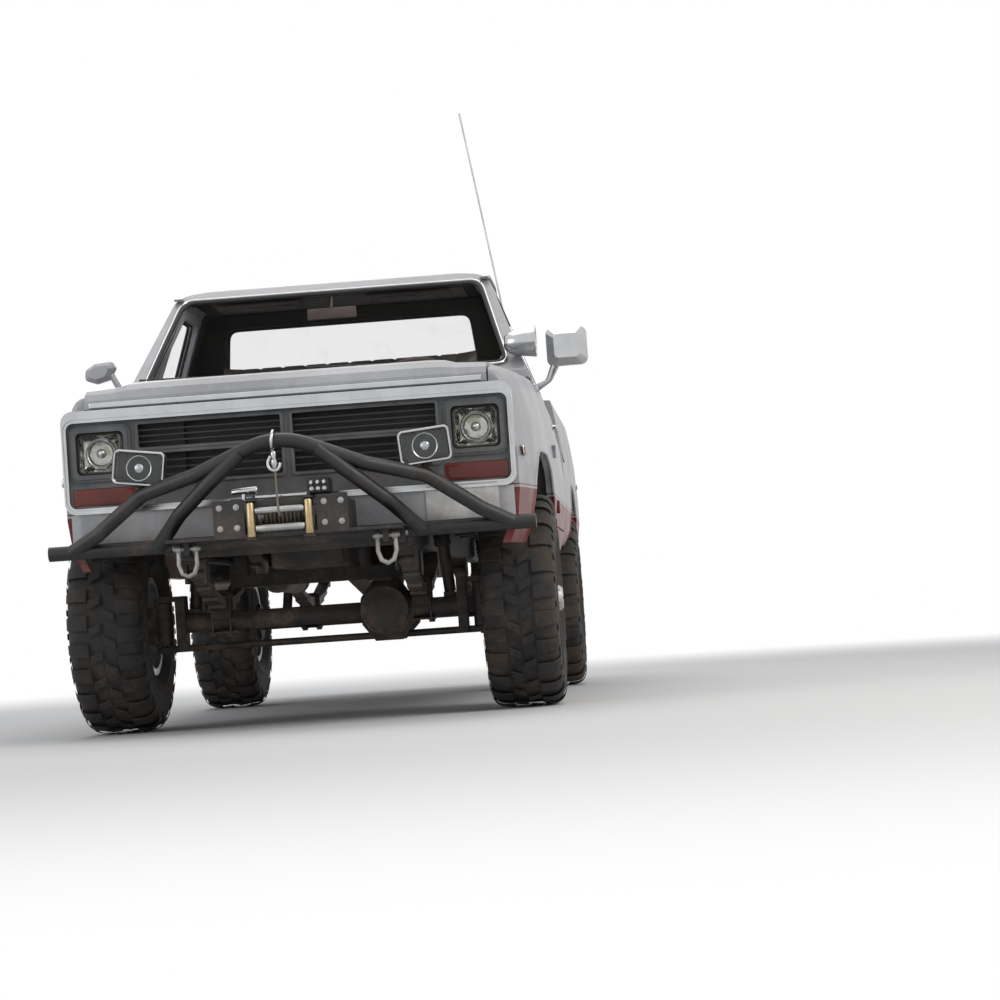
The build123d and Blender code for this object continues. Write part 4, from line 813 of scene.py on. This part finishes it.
# Roller fairlead and the hook on the hoop
ROLLER_Y = -357
for x in (-112, 112):
    b.knob([(752, 14), (756, 16), (880, 16), (884, 14)], (x, ROLLER_Y, 0), UP, 28)
b.done("fairlead_rollers_upright", "brass")
for z in (784, 852):
    b.knob([(-94, 11), (-90, 13), (90, 13), (94, 11)], (0, ROLLER_Y, z), LEFT, 28)
b.done("fairlead_rollers_level", "steel_bright")
for s in (-1, 1):
    for z in (740.5, 888.5):
        b.box(s * 92, s * 132, -372.5, -338.5, z, z + 7, 2)
        b.hexbolt((s * 112, ROLLER_Y, z + (7 if z > 800 else 0)), (0, 0, 1 if z > 800 else -1), 7, 4)
    b.box(s * 96, s * 132, -342, -338.5, 741, 895, 1)
b.box(-131, 131, -342, -338.5, 766.5, 782, 1)
b.box(-131, 131, -342, -338.5, 857, 895, 1)
b.done("fairlead_frame", "chassis_black")
turn = [t / 24 * 2 * pi for t in range(24)]
b.tube([(-18 + 4 * sin(t), -294 + 38 * cos(t), 1121.6 + 38 * sin(t)) for t in turn], 6.5, 12, closed=True)
b.knob([(0, 6), (4, 10), (18, 13), (32, 9), (37, 8), (41, 13), (54, 14), (64, 10), (74, 6)], (-18, -295, 1086),
       (0.03, -0.06, -1), 24)
hook = [(-30, -296, 1062), (-42, -297, 1040), (-40, -299, 1018), (-26, -300, 1006), (-10, -300, 1004), (4, -300, 1016),
        (8, -300, 1034)]
b.tube(rounded(hook, 12), 7, 12)
b.done("winch_hook", "chrome_trim")

# Caps on the bumper's beam, and bolts
for s in (-1, 1):
    b.lathe([(0, 28.4), (2.5, 28), (4.5, 24), (5, 0)], (s * 963, -62, 750), (s, 0, 0), 32)
b.done("beam_caps", "exhaust_steel")
for s in (-1, 1):
    for x, z in ((170, 792), (236, 792), (170, 872), (236, 872)):
        b.hexbolt((s * x, -338, z), AHEAD, 8, 8)
    for y in (-110, -40):
        b.hexbolt((s * 457, y, 736), (s, 0, 0), 9, 9)
b.done("bumper_bolts", "zinc_steel")


# Trim on the flanks
def flank_at(s, y, z, table=FLANK, draw=0):
    """Frame on the body's side: back along it, up the flank and straight out."""
    lo, hi = along(table, z - 12), along(table, z + 12)
    up = Vector((s * (hi - lo), 0, 24)).normalized()
    out = Vector(BACK).cross(up) * s
    return placed(BACK, up, out, (s * (along(table, z) - draw), y, z)), out


for s, side in SIDES:
    door = "door_" + side
    at, out = flank_at(s, 2352, 1275)
    b.plate(rrect(-66, 66, -21, 21, 12), 2.6, 0.8, mat=at)
    bar = [at @ Vector(p) for p in ((-54, 0, 2), (-50, 0, 17), (36, 0, 18), (44, 0, 2))]
    b.tube(rounded(bar, 10), 5.5, 12)
    b.knob([(2, 10), (5, 10), (6.5, 7)], at @ Vector((55, 0, 0)), out, 20)
    lock, out = flank_at(s, 2385, 1222)
    b.knob([(0, 12), (2, 12), (3.5, 9), (2.5, 7)], lock.translation, out, 20)
    # vent window's bar and the belt strip
    b.tube([(s * (along(FLANK, z) + 1), 1780 + (z - 1452) * 46 / 328, z) for z in (1464, 1560, 1640, 1718)], 6, 10)
    b.tube([(s * (along(FLANK, 1449) + 1), y, 1449) for y in (1572, 1800, 2100, 2440)], 5, 8)
    b.done("door_bright_trim_" + side, "chrome_trim", door)
    b.plate(rrect(-56, 44, -15, 15, 8), 3.2, 0.5, mat=at)
    pane = loop_of([(1612, 1462, 0), (1958, 1888, 0), (2318, 1888, 0), (2388, 1462, 0)], 34)
    pane = spread(pane + [pane[0]], 60)[:-1]
    for off, r in ((-5, 7), (-24, 6)):
        b.tube([(s * (along(FLANK, p.y) + off), p.x, p.y) for p in pane], r, 8, closed=True)
    b.done("door_gaskets_" + side, "dark_rubber", door)
    # inner panel, armrest and winder
    rows = [(z, along(FLANK, z) - 55) for z in (872, 1010, 1190, 1340, 1424)]
    b.loft([[(s * (x - d), y, z) for d, y in ((1, 1548), (1, 2402), (9, 2402), (9, 1548))] for z, x in rows])
    b.box(s * 846, s * 920, 1860, 2260, 1150, 1196, 16, 4)
    for z in (960, 1000, 1040):
        b.tube([(s * (along(FLANK, z) - 65), y, z) for y in (1600, 1900, 2350)], 4, 8)
    b.done("door_card_" + side, "vinyl", door)
    b.knob([(0, 26), (6, 24), (9, 12)], (s * 906, 1760, 1215), (-s, 0, 0), 24)
    for pts in (((898, 1760, 1215), (886, 1800, 1178), (882, 1836, 1146), (860, 1836, 1146)),
                ((905, 1925, 1290), (880, 1930, 1290), (880, 2010, 1290), (905, 2015, 1290))):
        b.tube(rounded([(s * x, y, z) for x, y, z in pts], 10), 6, 10)
    b.done("door_inner_handles_" + side, "chrome_trim", door)

    # lips round the wheel openings, side markers
    for axle, half, r, table, narrow in (
            (AXLE_F, [(199.5, 1065), (380, 985), (475, 775), (475, 680)], 110, FLANK, NARROW),
            (AXLE_R, [(178.5, 1050), (340, 970), (425, 800), (425, 762)], 100, BED_SIDE, [(0, 0)])):
        opening = [(axle - y, z, 0) for y, z in half[::-1]] + [(axle + y, z, 0) for y, z in half]
        b.tube([(s * (along(table, p.y) - along(narrow, p.x) - 1), p.x, p.y) for p in spread(rounded(opening, r), 30)],
               6.5, 8)
    b.done("arch_lips_" + side, "body_paint")
    for name, y, z, table, mat in (("front", 150, 1040, FLANK, "lamp_amber"),
                                   ("rear", 4500, 1075, BED_SIDE, "lamp_red")):
        at, _ = flank_at(s, y, z, table, along(NARROW, y) if y < 1500 else 0)
        b.plate(rrect(-52, 52, -15, 15, 5), 9, 3, 3, mat=at)
        b.done(f"side_marker_{name}_{side}", mat)
        frame_ring(-52, 52, -15, 15, 5, 0, [(0, 0), (0, 5), (4, 5), (5, 3), (5, 0)], 4,
                   lambda x, out, up: at @ Vector((x, up, out)))
        b.done(f"side_marker_rim_{name}_{side}", "chrome_trim")

# Wings' upper skins, which meet the hood's edges: y, flank drawn in, top lowered
UPPER = [(33, 92, 112), (37, 91, 101), (46, 90, 93), (62, 87, 88), (190, 62, 66), (380, 34, 54), (760, 10, 32),
         (1100, 4, 13), (1322, 0, 0)]
for s, side in SIDES:
    rings = []
    for y, n, d in [(a + (c - a) * k / 4, p + (q - p) * k / 4, e + (g - e) * k / 4)
                    for (a, p, e), (c, q, g) in zip(UPPER, UPPER[1:]) for k in range(4)] + [UPPER[-1]]:
        low = (1000 - n - 7.5, 1100)
        pts = [low, (985 - n, 1190 - 0.3 * d), (955 - 0.85 * n, 1340 - 0.8 * d), (922 - 0.62 * n, 1420 - d),
               (876 - 0.36 * n, 1452 - d), (HOOD_X, 1462 - d)]
        skin = rounded([(x, z, 0) for x, z in pts], 40, 5)
        out = []
        for k, p in enumerate(skin):
            t = (skin[min(k + 1, len(skin) - 1)] - skin[max(k - 1, 0)]).normalized()
            lift = min(0.8, (p.y - 1150) * 0.04)
            out.append((p.x + t.y * lift, p.y - t.x * lift))
        back = [(HOOD_X, 1462 - d - 8)] + [(p.x - 6, p.y - 6) for p in skin[-2:0:-1]] + [(low[0] - 8, 1104)]
        rings.append([(s * x, y, z) for x, z in out + back])
    b.loft(rings)
    # the nose closed down to the surround
    nose = [(x, z) for x, y, z in rings[0][:len(rings[0]) // 2 + 1] if z > 1280] + [(s * HOOD_X, 1280)]
    b.loft([[(x, y, z) for x, z in nose] for y in (33.2, 44)])
    b.done("wing_upper_skin_" + side, "body_paint")

# Fuel door on the bed's left side, ringed by a dark sheet that is painted shade in its gap
at, out = flank_at(1, 2880, 1210, BED_SIDE)
b.plate(rrect(-84, 84, -74, 74, 16), 2.2, 1, mat=at)
b.knob([(1, 10), (4, 9)], at @ Vector((62, 0, 0)), out, 16)
b.done("fuel_door", "body_paint")
# dark rim round the door: painted shade of the gap
b.plate(rrect(-88, 88, -78, 78, 18), 0.8, 0, mat=at)
b.done("fuel_door_gap_painted_shade", "dark_rubber")

# Rear window's gasket; dark bars on the cowl for its slots, painted shade of their openings; washer jets; bright bar on
# the hood's nose
back = loop_of([(-640, 1500, 0), (640, 1500, 0), (600, 1880, 0), (-600, 1880, 0)], 52)
for off in (3, -18):
    b.tube([(p.x, 2643 - (p.y - 1440) * 108 / 545 + off, p.y) for p in back], 10, 8, closed=True)
# dark bars across the cowl: painted shade in the slots
for s in (-1, 1):
    for k in range(26):
        x = s * (140 + 18 * k)
        b.tube([(x, 1343, 1482.2), (x, 1383, 1492.6)], 3, 6)
b.done("rear_gasket_and_cowl_slot_shade", "dark_rubber")
for x in (-260, 260):
    b.box(x - 9, x + 9, 1352, 1368, 1482, 1498, 3)
b.done("washer_jets", "black_plastic")
b.box(-787, 787, -5, 5, 1322, 1344, 4, 4)
b.done("hood_front_bar", "chrome_trim", "hood")

# Tail lamps, tailgate handle, rear bumper's pads
for s, side in SIDES:
    x0, x1 = sorted((s * 894, s * 971))
    lamp_glass(x0 + 4, x1 - 4, 1158, 1296, 8, 4670, 12, back=True)
    b.done("tail_lens_" + side, "lamp_red", rep="tail_lamps")
    lamp_glass(x0 + 4, x1 - 4, 1094, 1152, 8, 4670, 12, back=True)
    b.done("reversing_lens_" + side, "lamp_clear")
    b.box(x0, x1, 4668.3, 4671, 1090, 1300, 1, 1)
    b.box(x0 + 3, x1 - 3, 4668.5, 4679, 1152, 1158, 1.5)
    frame_ring(x0 + 3.5, x1 - 3.5, 1093.5, 1296.5, 9, 4668.5, [(-0.5, 0), (-0.5, 9), (1, 11), (3, 10), (3.5, 0)], 5)
    b.done("tail_lamp_case_" + side, "chrome_trim")
b.box(-82, 82, 4654.5, 4658, 1366, 1398, 1)
b.tube(rounded([(-66, 4656, 1382), (-62, 4666, 1382), (62, 4666, 1382), (66, 4656, 1382)], 8), 5, 10)
b.done("tailgate_handle", "chrome_trim", "tailgate")
for s in (-1, 1):
    b.box(s * 210, s * 850, 4722, 4826, 904, 909, 2)
    for k in range(9):
        x = s * (250 + 70 * k)
        b.box(x - 4, x + 4, 4730, 4818, 908, 911, 1)
b.done("rear_bumper_pads", "dark_rubber")
for s in (-1, 1):
    for z in (790, 850):
        b.hexbolt((s * 426, 4841.5, z), BACK, 8, 7)
b.done("rear_bumper_bolts", "zinc_steel")
b.plate(rrect(-150, 150, -75, 75, 10), 2, 0.6, mat=placed(LEFT, UP, BACK, (0, 4656.5, 1200)))
b.done("rear_plate", "plate_white", "tailgate")

# Cab's inside
b.lathe([(-6, 0), (-6, 30), (0, 38), (10, 34), (17, 20), (18, 0)], (380, 1840, 1425), (0, 0.887, 0.462), 28)
b.box(182, 578, 1668, 1700, 1246, 1384, 10, 3)
b.box(-120, 90, 1672, 1694, 1262, 1330, 5)
b.box(-700, -240, 1668, 1692, 1250, 1368, 12, 3)
for x in (-170, 640, -760):
    b.box(x - 44, x + 44, 1672, 1696, 1300, 1352, 6)
for x0, x1 in ((-560, -160), (160, 560)):
    b.box(x0, x1, 1930, 2070, 1914, 1930, 7, 3)
b.box(-115, 115, 1828, 1842, 1818, 1872, 6, 3)
b.tube([(0, 1830, 1868), (0, 1862, 1908), (0, 1892, 1936)], 6, 10)
b.done("dash_fittings", "dash_plastic")
# dials: x, radius and the hand's angle
DIALS = ((270, 46, 40), (380, 46, -50), (482, 34, 10))
DIAL_Z = 1316
for x, r, _ in DIALS:
    b.lathe([(0, r), (4, r + 3), (7, r + 2), (7, r - 3), (1, r - 4)], (x, 1698, DIAL_Z), BACK, 36)
for z in (1280, 1312):
    b.box(-112, 82, 1693, 1697, z - 1.5, z + 1.5, 0.5)
for x in (-96, 66):
    b.knob([(0, 13), (14, 12), (16, 9)], (x, 1694, 1296), BACK, 20)
b.done("dash_bright_rings", "chrome_trim")
for x, r, _ in DIALS:
    b.lathe([(0.5, 0), (0.5, r - 4)], (x, 1699, DIAL_Z), BACK, 32)
b.done("dial_faces", "black_plastic")
for x, r, turn in DIALS:
    for k in range(11):
        a = radians(-125 + 25 * k)
        p = Vector((x + (r - 10) * sin(a), 1700.2, DIAL_Z + (r - 10) * cos(a)))
        d = Vector((sin(a), 0, cos(a))) * 4
        b.tube([p - d, p + d], 0.9, 6)
    a = radians(turn)
    b.tube([(x + k * sin(a), 1701, DIAL_Z + k * cos(a)) for k in (-5, r - 16)], [1.6, 0.6], 6)
b.done("dial_marks", "plate_white")
b.box(-600, 600, 2016, 2500, 1949, 1958, 3)
b.done("headliner", "seat_cloth")
b.box(-836, 836, 1420, 1940, 930.5, 940, 4)
b.box(-836, 836, 1940, 2540, 930.5, 937, 3)
b.lathe([(0, 62), (20, 54), (44, 34), (70, 20), (72, 0)], (170, 1735, 938), (0, 0.1, 1), 24)
b.done("floor_mat", "dark_rubber")
b.tube([(170, 1742, 1004), (168, 1752, 1060), (150, 1780, 1180), (146, 1790, 1236)], 8, 12)
for x, y in ((300, 1500), (400, 1500), (500, 1480)):
    b.tube([(x, y - 40, 1200), (x, y + 40, 1100), (x, y + 70, 1060)], 7, 8)
    b.box(x - 34, x + 34, y + 60, y + 74, 1030, 1090, 5)
b.done("levers_and_pedals", "steel_bright")
b.lathe([(-26, 0), (-26, 10), (-14, 21), (4, 25), (18, 19), (25, 8), (26, 0)], (145, 1792, 1252), (0, 0.1, 1), 24)
b.done("lever_knob", "black_plastic")


# Bench: pressure-filled cushions with sewn channels
BENCH = 640


def cushion(name, rows, top, rep=None, voxel=0.012, cap=0.018):
    """Padded cushion from its side outline (y, z), blown up by cloth; top tells the sewn face by its normal."""
    b.loft([[(-BENCH + 2 * BENCH * k / 22, y, z) for y, z in rows] for k in range(23)])
    o = b.build(name, "seat_cloth", "vinyl")
    bpy.context.view_layer.objects.active = o
    for p in bpy.context.view_layer.objects:
        p.select_set(p is o)
    r = o.modifiers.new("remesh", "REMESH")
    r.mode = "VOXEL"
    r.voxel_size = voxel
    bpy.ops.object.modifier_apply(modifier=r.name)
    verts = o.data.vertices
    rest = [v.co.copy() for v in verts]
    c = o.modifiers.new("cloth", "CLOTH")
    c.settings.use_pressure = True
    c.settings.uniform_pressure_force = 4
    c.settings.effector_weights.gravity = 0
    c.settings.quality = 4
    for f in range(1, 21):
        bpy.context.scene.frame_set(f)
    blown = [v.co.copy() for v in o.evaluated_get(bpy.context.evaluated_depsgraph_get()).data.vertices]
    o.modifiers.remove(c)
    bpy.context.scene.frame_set(1)
    for v, p, q in zip(verts, rest, blown):
        v.co = p + (q - p) * min(1, cap / max((q - p).length, 1e-9))
    s = o.modifiers.new("subdivision", "SUBSURF")
    s.levels = s.render_levels = 1
    bpy.ops.object.modifier_apply(modifier=s.name)
    verts, faces = o.data.vertices, o.data.polygons
    mid = sum((v.co for v in verts), Vector()) / len(verts)
    # sewn channels, and a seam between cloth and vinyl
    seam = BENCH - 120
    for v in verts:
        x = abs(v.co.x * 1000)
        if x < seam:
            t = abs(((v.co.x * 1000 + 55) % 110) - 55) / 55
            deep = 0.007 * (1 - min(1, t * 3.2)) ** 2
        else:
            deep = 0.006 * max(0, 1 - (x - seam) / 14) ** 2
        d = v.co - mid
        d.x = 0
        v.co -= d.normalized() * deep
    faces.foreach_set("material_index", [0 if abs(p.center.x * 1000) < seam and top(p.normal) else 1 for p in faces])
    faces.foreach_set("use_smooth", [True] * len(faces))
    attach(o, "chassis")
    if rep:
        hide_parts(rep)


cushion("seat_cushion", [(1975, 1030), (1968, 1110), (1972, 1180), (2000, 1200), (2200, 1190), (2410, 1182),
                         (2412, 1060), (2380, 1025)], lambda n: n.z > 0.3, "bench_seat")
cushion("seat_back", [(2418, 1200), (2428, 1420), (2446, 1660), (2462, 1695), (2494, 1692), (2506, 1640),
                      (2530, 1300), (2538, 1190), (2500, 1176)], lambda n: n.y < -0.3)
b.box(-600, 600, 2010, 2480, 937.5, 1014, 8, 2)
for s in (-1, 1):
    b.box(s * 520, s * 590, 2440, 2530, 990, 1180, 6)
b.done("seat_frame", "chassis_black")

# Engine: block, heads, covers, manifold, air cleaner, pulleys and fan
b.box(-150, 150, 372, 1005, 642, 850, 16, 3)
b.box(-120, 120, 440, 960, 640.5, 700, 12, 3)
# the two banks of cylinders, leaning outwards
BANKS = [(s, Matrix.Translation((s * 118, 690, 930)) @ Matrix.Rotation(radians(s * 38), 4, "Y")) for s in (-1, 1)]
for s, at in BANKS:
    b.box(-62, 62, -290, 290, -110, 90, 10, 2, mat=at)
    for k in range(4):
        y = 430 + 165 * k
        runner = [(s * 196, y, 900), (s * 240, y, 880), (s * 250, y + 30, 830), (s * 250, y + 60, 800)]
        b.tube(rounded(runner, 30), 22, 12)
    b.tube([(s * 250, 430, 800), (s * 250, 960, 780)], 26, 14)
b.box(-110, 110, 450, 920, 985, 1080, 22, 3)
b.knob([(0, 74), (50, 70), (64, 52), (96, 50)], (0, 680, 1070), UP, 32)
b.knob([(0, 56), (40, 54), (52, 30)], (60, 930, 1000), UP, 24)
b.done("engine_casting", "cast_metal", rep="engine_block")
for s, at in BANKS:
    b.box(-52, 52, -270, 270, 88, 140, 14, 3, mat=at)
    for k in range(6):
        for x in (-56, 56):
            b.hexbolt(at @ Vector((x, -250 + 100 * k, 92)), at.to_3x3() @ Vector(UP), 5, 8)
b.knob([(0, 168), (8, 176), (16, 178), (24, 174), (26, 160), (46, 158), (50, 164), (58, 162), (64, 150), (66, 60),
        (70, 40)], (0, 680, 1158), UP, 64)
b.lathe([(0, 0), (0, 14), (14, 12), (16, 0)], (0, 680, 1226), UP, 12)
b.done("valve_covers_and_air_cleaner", "chrome_trim")
for x, z, r in ((0, 760, 92), (0, 960, 74), (196, 1010, 52)):
    b.lathe([(0, 0), (0, r), (4, r), (10, r - 10), (16, r), (20, r), (20, 24), (20, 0)], (x, 352, z), BACK, 36)
b.knob([(0, 66), (10, 72), (90, 72), (100, 60)], (196, 374, 1010), BACK, 32)
for k in range(6):
    a = radians(60 * k + 12)
    d, e = Vector((sin(a), 0, cos(a))), Vector((cos(a), 0, -sin(a)))
    hub = Vector((0, 326, 960))
    b.loft([[hub + d * r + e * w + Vector((0, t, 0)) for w, t in ((-w0, -9), (w0, 9), (w0, 11), (-w0, -7))]
            for r, w0 in ((30, 22), (80, 34), (139, 40))])
b.knob([(0, 48), (30, 48)], (0, 318, 960), BACK, 28)
b.done("fan_and_pulleys", "chassis_black")
belt = loop_of([(-92, 360, 760), (92, 360, 745), (250, 360, 1012), (196, 360, 1066), (-74, 360, 1010)], 60, 6)
b.tube([(p.x, 361, p.z) for p in belt], 6, 8, closed=True)
# battery on its tray, brake booster on the bulkhead
b.box(-548, -380, 200, 440, 1036, 1196, 8, 2)
b.box(-544, -384, 204, 436, 1194, 1210, 5, 2)
b.knob([(0, 110), (20, 122), (40, 122), (52, 100), (90, 60)], (400, 1328, 1250), AHEAD, 40)
b.done("belt_battery_booster", "black_plastic")
b.box(-559, -372, 192, 448, 1020, 1036, 3)
for y in (240, 400):
    b.knob([(0, 10), (16, 9)], (-420, y, 1208), UP, 14)
b.box(352, 448, 1150, 1240, 1220, 1290, 10, 2)
b.tube([(400, 1240, 1250), (400, 1246, 1250)], 40, 20)
b.done("battery_tray_and_cylinder", "zinc_steel")

# Under the truck: clamps, covers and boots
for y0, pad in ((AXLE_F, 490.5), (AXLE_R, 496.5)):
    for s in (-1, 1):
        for dy in (-38, 38):
            x = s * SPRING_X
            pts = [(x + dx, y0 + dy, z) for dx, z in ((-38, 386), (-38, pad + 74), (38, pad + 74), (38, 386))]
            b.tube(rounded(pts, 14), 7, 10)
            for k in (-38, 38):
                b.hexbolt((x + k, y0 + dy, 393), (0, 0, -1), 10, 12)
        b.box(x - 52, x + 52, y0 - 54, y0 + 54, 393, 400, 2)
b.done("spring_u_bolts", "spring_steel")
for at, d, r in (((280, 596, AXLE_Z), AHEAD, 100), ((0, 3830, AXLE_Z), BACK, 122)):
    b.lathe([(0, 0), (0, r), (7, r), (9, r - 6), (9, r - 16), (24, r * 0.6), (29, r * 0.3), (30, 0)], at, d, 44)
    for k in range(10):
        a = radians(36 * k + 18)
        b.hexbolt((at[0] + (r - 9) * cos(a), at[1] + d[1] * 8, at[2] + (r - 9) * sin(a)), d, 6, 7)
b.done("axle_covers", "cast_metal")
for y, z in ((800, 930), (3611, 800)):
    for s in (-1, 1):
        foot, head = Vector((s * 545, y, 504.5)), Vector((s * 505, y, z))
        ax = (head - foot).normalized()
        prof = [((head - foot).length * (0.46 + 0.44 * k / 13), 37 if k % 2 else 33) for k in range(13)]
        b.lathe([(prof[0][0], 20)] + prof + [(prof[-1][0], 20)], foot, ax, 24)
b.done("shock_boots", "dark_rubber")
for y in (1755, 1800, 2420, 2465):
    b.lathe([(-6, 50), (-6, 61.5), (-3, 63), (3, 63), (6, 61.5), (6, 50)], (-330, y, 626), BACK, 36)
for at in ((-330, 1240, 626), (-340, 2590, 628)):
    b.lathe([(-14, 20), (-14, 30), (14, 30), (14, 20)], at, (0, 1, 0.02), 24)
b.done("exhaust_clamps", "exhaust_steel")
for y in (2250, 2690):
    strap = (149.5, 818), (146.5, 818), (146.5, 596.5), (397, 596.5), (397, 599.5), (149.5, 599.5)
    b.loft([[(x, yy, z) for x, z in strap] for yy in (y - 16, y + 16)])
b.done("tank_straps", "zinc_steel")
b.lathe([(0, 20.5), (3, 21), (3, 23), (8, 23), (12, 20.6), (14, 20.6), (18, 23), (23, 20.6), (28, 23), (33, 20.6),
         (38, 19), (41, 12), (44, 7), (44, 0)], (815, 2690, 1432), UP, 28)
b.done("antenna_base", "chrome_trim")

# Camera from the fit to the photograph: axes to its right and ahead, its place and its focal length in pixels
FOCAL, WIDTH = 2718, 1000
right, ahead = Vector((0.9958, 0.0601, -0.0687)), Vector((-0.0573, 0.9974, 0.0428))
ahead.normalize()
right = (right - ahead * right.dot(ahead)).normalized()
camera = link(bpy.data.objects.new("camera", bpy.data.cameras.new("camera")))
camera.data.sensor_width = 36
camera.data.lens = FOCAL / WIDTH * 36
camera.data.clip_end = 200
camera.matrix_world = placed(right, -ahead.cross(right), -ahead, (1.443, -12.9425, 0.383))
bpy.context.scene.camera = camera

# Floor: pale, with the truck's shadow, and white to the camera further out
me = bpy.data.meshes.new("floor")
me.from_pydata([(-60, -60, 0), (60, -60, 0), (60, 60, 0), (-60, 60, 0)], [], [(0, 1, 2, 3)])
link(bpy.data.objects.new("floor", me))
me.materials.append(bpy.data.materials.new("studio_floor"))
k = Nodes(me.materials[0])
away = k.new("VectorMath", k.new("TexCoord").outputs["Object"], operation="LENGTH").outputs["Value"]
pale = k.new("BsdfDiffuse", (0.78, 0.775, 0.765)).outputs[0]
white = k.new("Emission", (1, 1, 1)).outputs[0]
k.new("OutputMaterial", k.new("MixShader", k.mul(k.step(away, 4.0, 9.5), k.seen()), pale, white).outputs[0])

# World: soft sky light on the truck, white behind it
bpy.context.scene.world = bpy.data.worlds.new("studio")
k = Nodes(bpy.context.scene.world)
sky, white = (k.new("Background", *values).outputs[0] for values in (((0.92, 0.95, 1), 0.38), ((1, 1, 1), 1.0)))
k.new("OutputWorld", k.new("MixShader", k.seen(), sky, white).outputs[0])

for name, at, to, size, power, color in (
        ("key", (5.5, -5.5, 6.0), (0, -0.6, 0.8), (4, 4), 280, (1, 0.97, 0.93)),
        ("fill", (-6, -6, 3.2), (0, -0.8, 0.8), (5, 4), 115, (0.92, 0.96, 1)),
        ("top", (0, 0.5, 7), (0, 0, 0), (5, 7), 155, (1, 1, 1)),
        ("back", (-2, 8, 4), (0, 0, 1), (5, 3), 115, (1, 1, 1))):
    o = link(bpy.data.objects.new(name, bpy.data.lights.new(name, "AREA")))
    o.data.shape = "RECTANGLE"
    o.data.size, o.data.size_y = size
    o.data.energy, o.data.color = power, color
    o.location = at
    o.rotation_euler = (Vector(to) - Vector(at)).to_track_quat("-Z", "Y").to_euler()

bpy.context.scene.view_settings.view_transform = "Standard"
